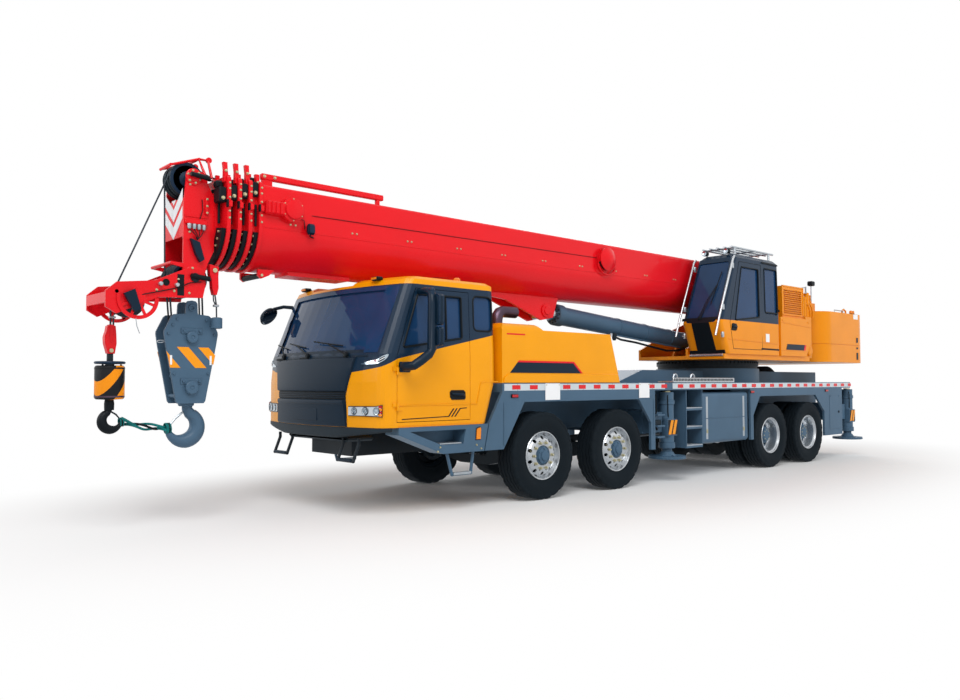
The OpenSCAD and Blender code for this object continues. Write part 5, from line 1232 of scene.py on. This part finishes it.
def make_engine_cover():
    """Engine cover: fold line, blank dark panel with a red edge, vent, latches and the heat-blued exhaust."""
    shape = Shape()
    edge = HALF_W - 5
    mark = shape.mark()
    low, lip = [(695, 1445), (692, 1500), (612, 1548), (-1444, 1548), (-1472, 1445)], edge + 14
    shape.rings([[(x, edge - 2, z + (12 if z > 1500 else 0)) for x, z in low],
                 [(x, lip, z) for x, z in low]], YELLOW)
    shape.plate([(590, 1562), (455, 1695), (-550, 1695), (-700, 1562)], edge, edge + 3, MASK)
    shape.plate([(462, 1690), (440, 1712), (-556, 1712), (-728, 1562), (-690, 1562), (-545, 1690)], edge,
                edge + 4, RED)
    shape.box((330, 640), (edge - 1, edge + 2), (2018, 2036), RED, 1)
    for x in (650, -1300):
        shape.box((x - 18, x + 18), (edge, edge + 12), (1455, 1500), BLACK, 5)
    shape.mirrored(mark)
    # A black sheet across the gap between the cab and the engine cover: painted shade in the gap
    shape.plate([(722, 1450), (752, 1450), (752, 2060), (722, 2060)], -980, 980, BLACK)
    shape.plate([(100, 2163), (100, 2170), (10, 2108), (10, 2100)], 380, 1080, MASK)
    shape.box((-330, 4), (380, 1080), (2088, 2098), MASK, 4)
    sleeve = [(370, 780, 2150), (370, 780, 2226), (356, 780, 2280), (322, 780, 2322), (270, 780, 2341),
              (190, 780, 2341), (46, 780, 2341)]
    shape.tube(sleeve, [150, 150, 148, 146, 146, 146, 146], "heated_steel", sides=28)
    shape.tube([(48, 780, 2341), (44, 780, 2341)], 120, "stripe_black", sides=24)
    shape.turned([(96, 2158), (96, 2172), (80, 2176)], (370, 780, 0), YELLOW, axis="z", steps=32)
    shape.make("engine_cover_fittings", "carrier", "cab_paint")
    slat = Shape()
    slat.box((-10, -22), (400, 1060), (2096, 2104), BLACK, 2)
    repeat("vent_slats", slat, "carrier", 11, step=(-28, 0, 0))


def brow(z):
    """Where the front of the operator's cab lies at a height."""
    rise = z - UPPER_BELT
    return UPPER_FRONT + (PANEL_SLOPE * rise if rise < 0 else -PANE_LEAN * rise / PANE_H)


def pane(z):
    """Where the side of the operator's cab lies at a height."""
    return HALF_W - PANE_INWARD * max(0, z - UPPER_BELT) / PANE_H


def make_operator_cab():
    """Operator's cab: hand tubes, wiper, seals, handle, step bar, front panel and roof rails."""
    shape = Shape()
    low, high, edge = 530, 1250, HALF_W
    # Dark panel between the two front corners, with a lip at the belt
    for panel in ([(540, 2440), (1240, 2440), (1240, 2484), (540, 2484)],
                  [(620, 2442), (1150, 2442), (1050, 2398), (730, 2398)],
                  [(730, 2398), (1050, 2398), (1062, 1958), (718, 1958)]):
        shape.rings([[(brow(z) + lift, y, z) for y, z in panel] for lift in (-14, 7)], BLACK)
    shape.rings([[(brow(z) + lift, y, z) for y, z in ((570, 1905), (1212, 1905), (1212, 1960), (570, 1960))]
                 for lift in (-10, 9)], BLACK)
    shape.tube([(brow(1885) + 46, 590, 1884), (brow(1885) + 46, 1190, 1884)], 44, ALLOY, sides=16)
    shape.box((brow(1885), brow(1885) + 46), (600, 1180), (1876, 1892), ALLOY, 4)
    for y, out in ((low, -1), (high, 1)):
        tube = [(-3878, y + out * 4, 2180), (brow(2480) + 60, y + out * 4, 2480),
                (brow(3440) + 46, y + out * 4, 3440), (brow(3490) + 20, y, 3492)]
        shape.tube(tube, 34, ALLOY, sides=12)
        for z in (2200, 2640, 3330):
            shape.tube([(brow(z) - 20, y - out * 14, z), (brow(z) + 46, y + out * 4, z)], 22, TUBE, sides=8)
            shape.box((brow(z) - 30, brow(z) + 20), (y - out * 26, y + out * 6), (z - 44, z + 44), TUBE, 6)
    # Wiper with its twin arm
    for dy in (0, 34):
        shape.tube([(brow(2475) + 14, 850 + dy, 2475), (brow(2760) + 24, 930 + dy, 2760),
                    (brow(3010) + 14, 1040 + dy / 2, 3010)], [16, 12, 9], BLACK, sides=8)
    shape.tube([(brow(2700) + 8, 1010, 2700), (brow(3240) + 8, 1078, 3240)], 14, BLACK, sides=6)
    shape.turned([(34, 0), (34, 24), (22, 30)], (brow(2470), 868, 2470), BLACK, axis="x", steps=16)
    # Door handle, crease, step slot and vents on the side
    handle = [(-4350, 2290), (-4366, 2380), (-4400, 2394), (-4500, 2386), (-4520, 2360), (-4516, 2296),
              (-4480, 2276), (-4380, 2276)]
    shape.plate(handle, edge, edge + 8, BLACK)
    shape.tube([(-4376, edge + 10, 2330), (-4400, edge + 24, 2344), (-4480, edge + 24, 2340),
                (-4500, edge + 10, 2328)], 26, MASK, sides=10)
    shape.plate([(-4260, 2130), (-4262, 2138), (-5900, 2100), (-5900, 2092)], edge, edge + 6, ORANGE)
    shape.plate([(-5290, 1990), (-5300, 2016), (-5890, 2010), (-5890, 1984)], edge, edge + 5, BLACK)
    shape.box((-5560, -5440), (edge, edge + 3), (2120, 2260), "sign_white", 2)
    shape.plate([(-5350, 3452), (-5370, 3478), (-5880, 3470), (-5880, 3446)], edge - 14, edge - 4, BLACK)
    windows = ([(-5240, 2530), (-4480, 2446), (-4708, 3334), (-5240, 3334)],
               [(-5862, 2622), (-5438, 2622), (-5438, 3372), (-5862, 3372)])
    for outline in windows:
        seal = seal_line(outline, lambda z: pane(z) - 2, 0.03)
        shape.tube(seal, 26, BLACK, sides=8, closed=True)
    seam = [(-5326, 1984), (-4414, 1984), (-4314, 2402), (-4642, 3416), (-5326, 3416)]
    for (x, z), (x2, z2) in zip(seam, seam[1:] + seam[:1]):
        shape.tube([(x, pane(z) - 1, z), (x2, pane(z2) - 1, z2)], 9, BLACK, sides=6)
    # Rails and lamps over the roof
    rail, y0, y1 = 3660, 630, 1150
    for i in range(5):
        y = y0 + i * (y1 - y0) / 4
        shape.tube([(-5892, y, rail), (-4538, y, rail)], 34, TUBE, sides=10)
    for x in (-5750, -5280, -4660):
        shape.tube([(x, y0 - 17, rail), (x, y1 + 17, rail)], 34, TUBE, sides=10)
    for x in (-5750, -4660):
        for y in (y0, y1):
            shape.tube([(x, y, 3535), (x, y, rail)], 38, TUBE, sides=10)
    for y in (690, 1090):
        shape.box((-4560, -4480), (y - 50, y + 50), (3550, 3620), BLACK, 16)
        shape.turned([(42, 0), (42, 10), (30, 4)], (-4480, y, 3585), MIRROR, axis="x", steps=24)
    shape.make("operator_cab_fittings", "upper", "upper_paint")


def make_upper_fittings():
    """Side cover plate, cooler, pipes and valves, counterweight fittings, winch ropes and ring studs."""
    shape = Shape()
    edge = HALF_W
    # Blank dark plate with a red end, and the seam under it
    shape.plate([(-6140, 2010), (-6180, 2110), (-6820, 2110), (-6780, 2010)], edge, edge + 4, MASK)
    shape.plate([(-6780, 2010), (-6820, 2110), (-6880, 2110), (-6840, 2010)], edge, edge + 5, RED)
    shape.plate([(-5966, 1990), (-5966, 1998), (-6930, 1998), (-6926, 1990)], edge, edge + 4, ORANGE)
    shape.plate([(-5990, 2480), (-5990, 2492), (-7060, 2440), (-7064, 2428)], edge, edge + 6, ORANGE)
    for x in (-6020, -6960):
        shape.bolt((x, edge, 2520), 22, ORANGE)
    # Cooler: rim, lifting eyes, hoses and caps
    for x in (-6980, -6210):
        shape.box((x - 14, x + 14), (1142, 1162), (2580, 3158), ORANGE, 5)
    for z in (2640, 3150):
        shape.box((-6990, -6200), (1142, 1162), (z - 14, z + 14), ORANGE, 5)
    for y in spread(640, 1090, 5):
        shape.tube([(-6200, y, 2700), (-6120, y, 2720), (-6090, y - 10, 2640), (-6090, y - 20, 2575)], 42,
                   BLACK, sides=10)
    shape.turned([(46, 3148), (46, 3176), (34, 3186)], (-6600, 870, 0), BLACK, axis="z", steps=24)
    for k, (x, y) in enumerate(((-7150, 1080), (-7150, 960), (-7260, 1080), (-7260, 960))):
        shape.turned([(44, 2580), (44, 2960 + 40 * k), (50, 2964 + 40 * k), (50, 3010 + 40 * k),
                      (26, 3024 + 40 * k)], (x, y, 0), ORANGE, axis="z", steps=24)
        shape.tube([(x, y, 2900 + 30 * k), (x - 90, y + 40, 2880), (x - 130, y + 60, 2760),
                    (x - 140, y + 50, 2640)], 30, ORANGE, sides=10)
        shape.bolt((x, y, 3024 + 40 * k), 26, ZINC, axis="z")
    shape.box((-7330, -7090), (900, 1140), (2570, 2650), ORANGE, 10)
    shape.box((-7330, -7090), (900, 1140), (1880, 2580), ORANGE, 10)
    shape.tube([(-7060, 1100, 2650), (-7060, 1100, 3180), (-7200, 1100, 3200), (-7200, 1100, 3080)], 32,
               TUBE, sides=10)
    shape.turned([(92, 0), (92, 26), (80, 34), (30, 36)], (-7210, 1140, 2010), ORANGE, steps=36)
    # Camera on its pole
    shape.tube([(-7830, 900, 3000), (-7830, 900, 3300)], 24, TUBE, sides=10)
    shape.box((-7900, -7770), (850, 950), (3290, 3380), BLACK, 14)
    # Counterweight: pick-up slots, each a dark iron patch in an orange frame, the patch being painted shade
    # for the slot's depth; blank plate, corner lamp and lifting eye
    for lowz, highz in ((2205, 2330), (2077, 2140), (1868, 2033)):
        shape.box((-9065, -8955), (edge - 30, edge + 3), (lowz, highz), ORANGE, 4)
        shape.box((-9052, -8968), (edge - 20, edge + 5), (lowz + 12, highz - 12), IRON, 3)
    shape.box((-9060, -8860), (edge, edge + 4), (2680, 2775), "sign_white", 3)
    for x in (-9060, -8960):
        shape.turned([(34, 2778), (34, 2800), (28, 2806)], (x, 1160, 0), BLACK, axis="z", steps=20)
        shape.turned([(28, 2800), (28, 2850), (18, 2862)], (x, 1160, 0), "lens_amber", axis="z", steps=20)
    shape.tube([(-8700, 1100, 2770), (-8700, 1100, 2850), (-8780, 1100, 2880), (-8860, 1100, 2850),
                (-8860, 1100, 2770)], 34, ORANGE, sides=10)
    shape.tube([(-8200, 1180, 2780), (-8200, 1180, 2830), (-8560, 1180, 2830), (-8560, 1180, 2780)], 22,
               TUBE, sides=8)
    # Rope wound on the two drums
    for x, z, radius in ((-8252, 2360, 200), (-8820, 2296, 170)):
        coil = []
        for k in range(40):
            y = -440 + 22 * k
            coil += [(radius + 2, y), (radius + 14, y + 7), (radius + 14, y + 15)]
        shape.turned(coil, (x, 0, z), WIRE, steps=32)
    shape.make("upper_fittings", "upper", "upper_paint")
    stud = Shape()
    stud.box((SLEW_X + 868, SLEW_X + 890), (-16, 16), (1742, 1806), IRON, 4)
    repeat("ring_studs", stud, "carrier", 72, turn=(0, 0, 5), centre=(SLEW_X, 0, 1700))
    slat = Shape()
    slat.box((-6910, -6280), (1150, 1158), (2650, 2664), ORANGE, 3)
    repeat("cooler_slats", slat, "upper", 13, step=(0, 0, 36))


def make_luff_fittings():
    """Head ring with its bolts, the oil pipe under the barrel and the hose at its foot."""
    shape = Shape()
    tilt = math.atan2(330, 3900)
    ahead, up = Vector((math.cos(tilt), 0, math.sin(tilt))), Vector((-math.sin(tilt), 0, math.cos(tilt)))

    def at(along, y, height):
        return Vector((SLEW_X + 500, y, 2150)) + ahead * along + up * height

    shape.tube([at(3440, 0, 0), at(3450, 0, 0), at(3570, 0, 0), at(3592, 0, 0)], [290, 322, 322, 300], BLUE,
               sides=44)
    for a in turns(12):
        y, h = 122 * math.cos(a), 122 * math.sin(a)
        shape.tube([at(3580, y, h), at(3606, y, h)], 26, IRON, sides=6)
    shape.tube([at(420, 70, -142), at(2250, 70, -142)], 26, BLUE, sides=10)
    for along in (700, 1400, 2100):
        shape.tube([at(along, 0, 0), at(along + 36, 0, 0)], 292, BLUE, sides=40)
    shape.tube([at(2230, 70, -120), at(2230, 70, -196), at(2230, 70, -230)], [76, 76, 44], IRON, sides=14)
    shape.tube([at(2310, 66, -130), at(2310, 66, -176)], 52, TUBE, sides=12)
    hose = [at(2230, 70, -170), at(2080, 80, -200), at(1700, 100, -205), at(1300, 120, -230),
            at(900, 130, -250), at(560, 130, -210), at(380, 120, -150)]
    shape.tube(hose, 34, BLACK, sides=10)
    shape.make("luff_fittings", "luff_barrel", "carrier_paint")


def make_stage():
    """A pale floor, soft lamps and the camera at the photograph's place."""
    scene = bpy.context.scene
    scene.view_settings.view_transform = "Standard"
    scene.world, tree = blank(bpy.data.worlds.new("studio"))
    path = put(tree, "ShaderNodeLightPath").outputs
    seen = put(tree, "ShaderNodeMath", {0: path["Is Camera Ray"], 1: path["Is Transmission Ray"]},
               operation="MAXIMUM").outputs[0]
    seen = put(tree, "ShaderNodeMath", {0: seen, 1: path["Is Glossy Ray"]}, operation="MAXIMUM").outputs[0]
    strength = put(tree, "ShaderNodeMapRange", {0: seen, 3: 0.22, 4: 1.0}).outputs[0]
    glow = put(tree, "ShaderNodeBackground", {"Color": (1, 1, 1, 1), "Strength": strength})
    put(tree, "ShaderNodeOutputWorld", {"Surface": glow.outputs[0]})

    floor = bpy.data.meshes.new("floor")
    reach = 60.0
    floor.from_pydata([(-reach, -reach, 0), (reach, -reach, 0), (reach, reach, 0), (-reach, reach, 0)], [],
                      [(0, 1, 2, 3)])
    ground = bpy.data.objects.new("floor", floor)
    scene.collection.objects.link(ground)
    paper, tree = blank(bpy.data.materials.new("studio_paper"))
    path = put(tree, "ShaderNodeLightPath").outputs
    matt = put(tree, "ShaderNodeBsdfDiffuse", {"Color": linear("#FBFBFB")})
    light = put(tree, "ShaderNodeEmission", {"Strength": 1.0})
    dark = put(tree, "ShaderNodeEmission", {"Color": (0.62, 0.64, 0.66, 1), "Strength": 1.0})
    spot = put(tree, "ShaderNodeTexCoord").outputs["Object"]
    spot = put(tree, "ShaderNodeVectorMath", {0: spot, 1: (0.11, 0.25, 0)}, operation="MULTIPLY").outputs[0]
    spot = put(tree, "ShaderNodeVectorMath", {0: spot}, operation="LENGTH").outputs["Value"]
    away = put(tree, "ShaderNodeMapRange", {0: spot, 1: 0.55, 2: 1.3, 3: 0.04, 4: 1.0},
               interpolation_type="SMOOTHSTEP").outputs[0]
    fade = put(tree, "ShaderNodeMixShader", {0: away, 1: matt.outputs[0], 2: light.outputs[0]})
    shine = put(tree, "ShaderNodeMixShader",
                {0: path["Is Glossy Ray"], 1: fade.outputs[0], 2: dark.outputs[0]})
    put(tree, "ShaderNodeOutputMaterial", {"Surface": shine.outputs[0]})
    floor.materials.append(paper)

    for name, place, size, power in (("key", (10, 9, 13), 9.0, 1560), ("side", (-7, 14, 8), 9.0, 940),
                                     ("front", (16, -4, 7), 7.0, 480), ("back", (-12, -9, 10), 8.0, 600)):
        lamp = bpy.data.lights.new(name, "AREA")
        lamp.size, lamp.energy = size, power
        item = bpy.data.objects.new(name, lamp)
        item.location = place
        item.rotation_euler = (Vector((0, 0, 1.2)) - Vector(place)).to_track_quat("-Z", "Y").to_euler()
        # The side lamp would stand as a pale sheet in the door panes
        item.visible_glossy = name != "side"
        scene.collection.objects.link(item)

    camera = bpy.data.cameras.new("camera")
    camera.sensor_width, camera.lens = 36.0, 30.47
    camera.clip_end = 300.0
    item = bpy.data.objects.new("camera", camera)
    yaw, pitch, roll = (math.radians(a) for a in (-132.07, 2.27, -0.097))
    look = Vector((math.cos(pitch) * math.cos(yaw), math.cos(pitch) * math.sin(yaw), math.sin(pitch)))
    aim = look.to_track_quat("-Z", "Y").to_matrix().to_4x4()
    item.matrix_world = Matrix.Translation((9.6525, 8.2, 1.45)) @ aim @ Matrix.Rotation(roll, 4, "Z")
    scene.collection.objects.link(item)
    scene.camera = item


class CraneSizes(bpy.types.PropertyGroup):
    tread_depth: bpy.props.FloatProperty(name="Tread depth", description="Depth of the tyre grooves",
                                         default=0.014, unit="LENGTH")
    rope: bpy.props.FloatProperty(name="Rope", description="Diameter of the hooks' ropes", default=0.02,
                                  unit="LENGTH")
    strip: bpy.props.FloatProperty(name="Strip", description="Height of the reflective strip", default=0.082,
                                   unit="LENGTH")


class CraneColours(bpy.types.PropertyGroup):
    cab: bpy.props.StringProperty(name="Cab", description="sRGB hex of the cab enamel", default="#F09E04")
    upper: bpy.props.StringProperty(name="Superstructure", description="sRGB hex of the upper enamel",
                                    default="#E88D06")
    boom: bpy.props.StringProperty(name="Boom", description="sRGB hex of the boom enamel", default="#E1101C")
    carrier: bpy.props.StringProperty(name="Carrier", description="sRGB hex of the chassis enamel",
                                      default="#48637A")
    pillar: bpy.props.StringProperty(name="Pillars", description="sRGB hex of the dark cab pillars",
                                     default="#10293F")


GROUPS = (CraneSizes, CraneColours)


def operator(idname, label, text, work):
    """One operator class that runs one maker function."""
    def execute(self, context):
        work()
        return {"FINISHED"}
    return type("CRANE_OT_" + idname, (bpy.types.Operator,), {
        "bl_idname": "crane." + idname, "bl_label": label, "__doc__": text,
        "bl_options": {"REGISTER", "UNDO"}, "execute": execute})


STEPS = (
    operator("stage", "Stage", "Floor, lamps and camera", make_stage),
    operator("finishes", "Finishes", "Materials for every piece", make_finishes),
    operator("nodes", "Frame finishes", "Paints the packed frame", paint_nodes),
    operator("wheels", "Wheels", "Tyres with tread, rims, hubs and nuts", make_wheels),
    operator("main_hook", "Main hook", "Hook block with its rope falls", make_main_hook),
    operator("aux_hook", "Auxiliary hook", "Single fall hook with its weight", make_aux_hook),
    operator("lashing", "Lashing", "Webbing between the two hooks", make_lashing),
    operator("collars", "Boom collars", "Wear pads, rollers and bolts", make_collars),
    operator("boom_fittings", "Boom fittings", "Seam, cover bolts, reel and rest roller", make_boom_fittings),
    operator("ropes", "Hoist rope", "A length on each boom section", make_ropes),
    operator("head", "Boom head", "Chevrons, guards, grips and plugs", make_head),
    operator("rooster", "Boom nose", "Sheave guard, sensor box and cables", make_rooster),
    operator("mask", "Mask", "Mask with its slot, and bumper", make_mask),
    operator("lamps", "Lamps", "Head lamps and strips round the corners", make_lamps),
    operator("cab_front", "Cab front", "Screen border, wipers, markers and far mirror", make_cab_front),
    operator("cab_sides", "Cab sides", "Handles, seals, lines, mirrors and sill", make_cab_sides),
    operator("deck_trim", "Deck trim", "Reflective strip, plates and markers", make_deck_trim),
    operator("carrier", "Carrier fittings", "Straps, treads, step and hoses", make_carrier_fittings),
    operator("outriggers", "Outriggers", "Hazard plates, rings and feet", make_outriggers),
    operator("engine_cover", "Engine cover", "Panel, vent and exhaust", make_engine_cover),
    operator("operator_cab", "Operator cab", "Hand tubes, wiper, seals and rails", make_operator_cab),
    operator("upper", "Superstructure", "Cooler, valves, weight and ring", make_upper_fittings),
    operator("luff", "Luffing cylinder", "Head ring, pipe and hose", make_luff_fittings),
)


class CRANE_PT_parts(bpy.types.Panel):
    """Lists the crane's makers"""
    bl_label = "Crane"
    bl_space_type = "VIEW_3D"
    bl_region_type = "UI"
    bl_category = "Crane"

    def draw(self, context):
        for group in (context.scene.crane_sizes, context.scene.crane_colours):
            for name in group.bl_rna.properties.keys():
                if name not in ("rna_type", "name"):
                    self.layout.prop(group, name)
        for step in STEPS:
            self.layout.operator(step.bl_idname)


def register():
    for item in GROUPS + STEPS + (CRANE_PT_parts,):
        bpy.utils.register_class(item)
    bpy.types.Scene.crane_sizes = bpy.props.PointerProperty(type=CraneSizes)
    bpy.types.Scene.crane_colours = bpy.props.PointerProperty(type=CraneColours)


def unregister():
    del bpy.types.Scene.crane_sizes, bpy.types.Scene.crane_colours
    for item in (GROUPS + STEPS + (CRANE_PT_parts,))[::-1]:
        bpy.utils.unregister_class(item)


def main():
    register()
    for step in STEPS:
        getattr(bpy.ops.crane, step.bl_idname.split(".")[1])()


if __name__ == "__main__":
    main()
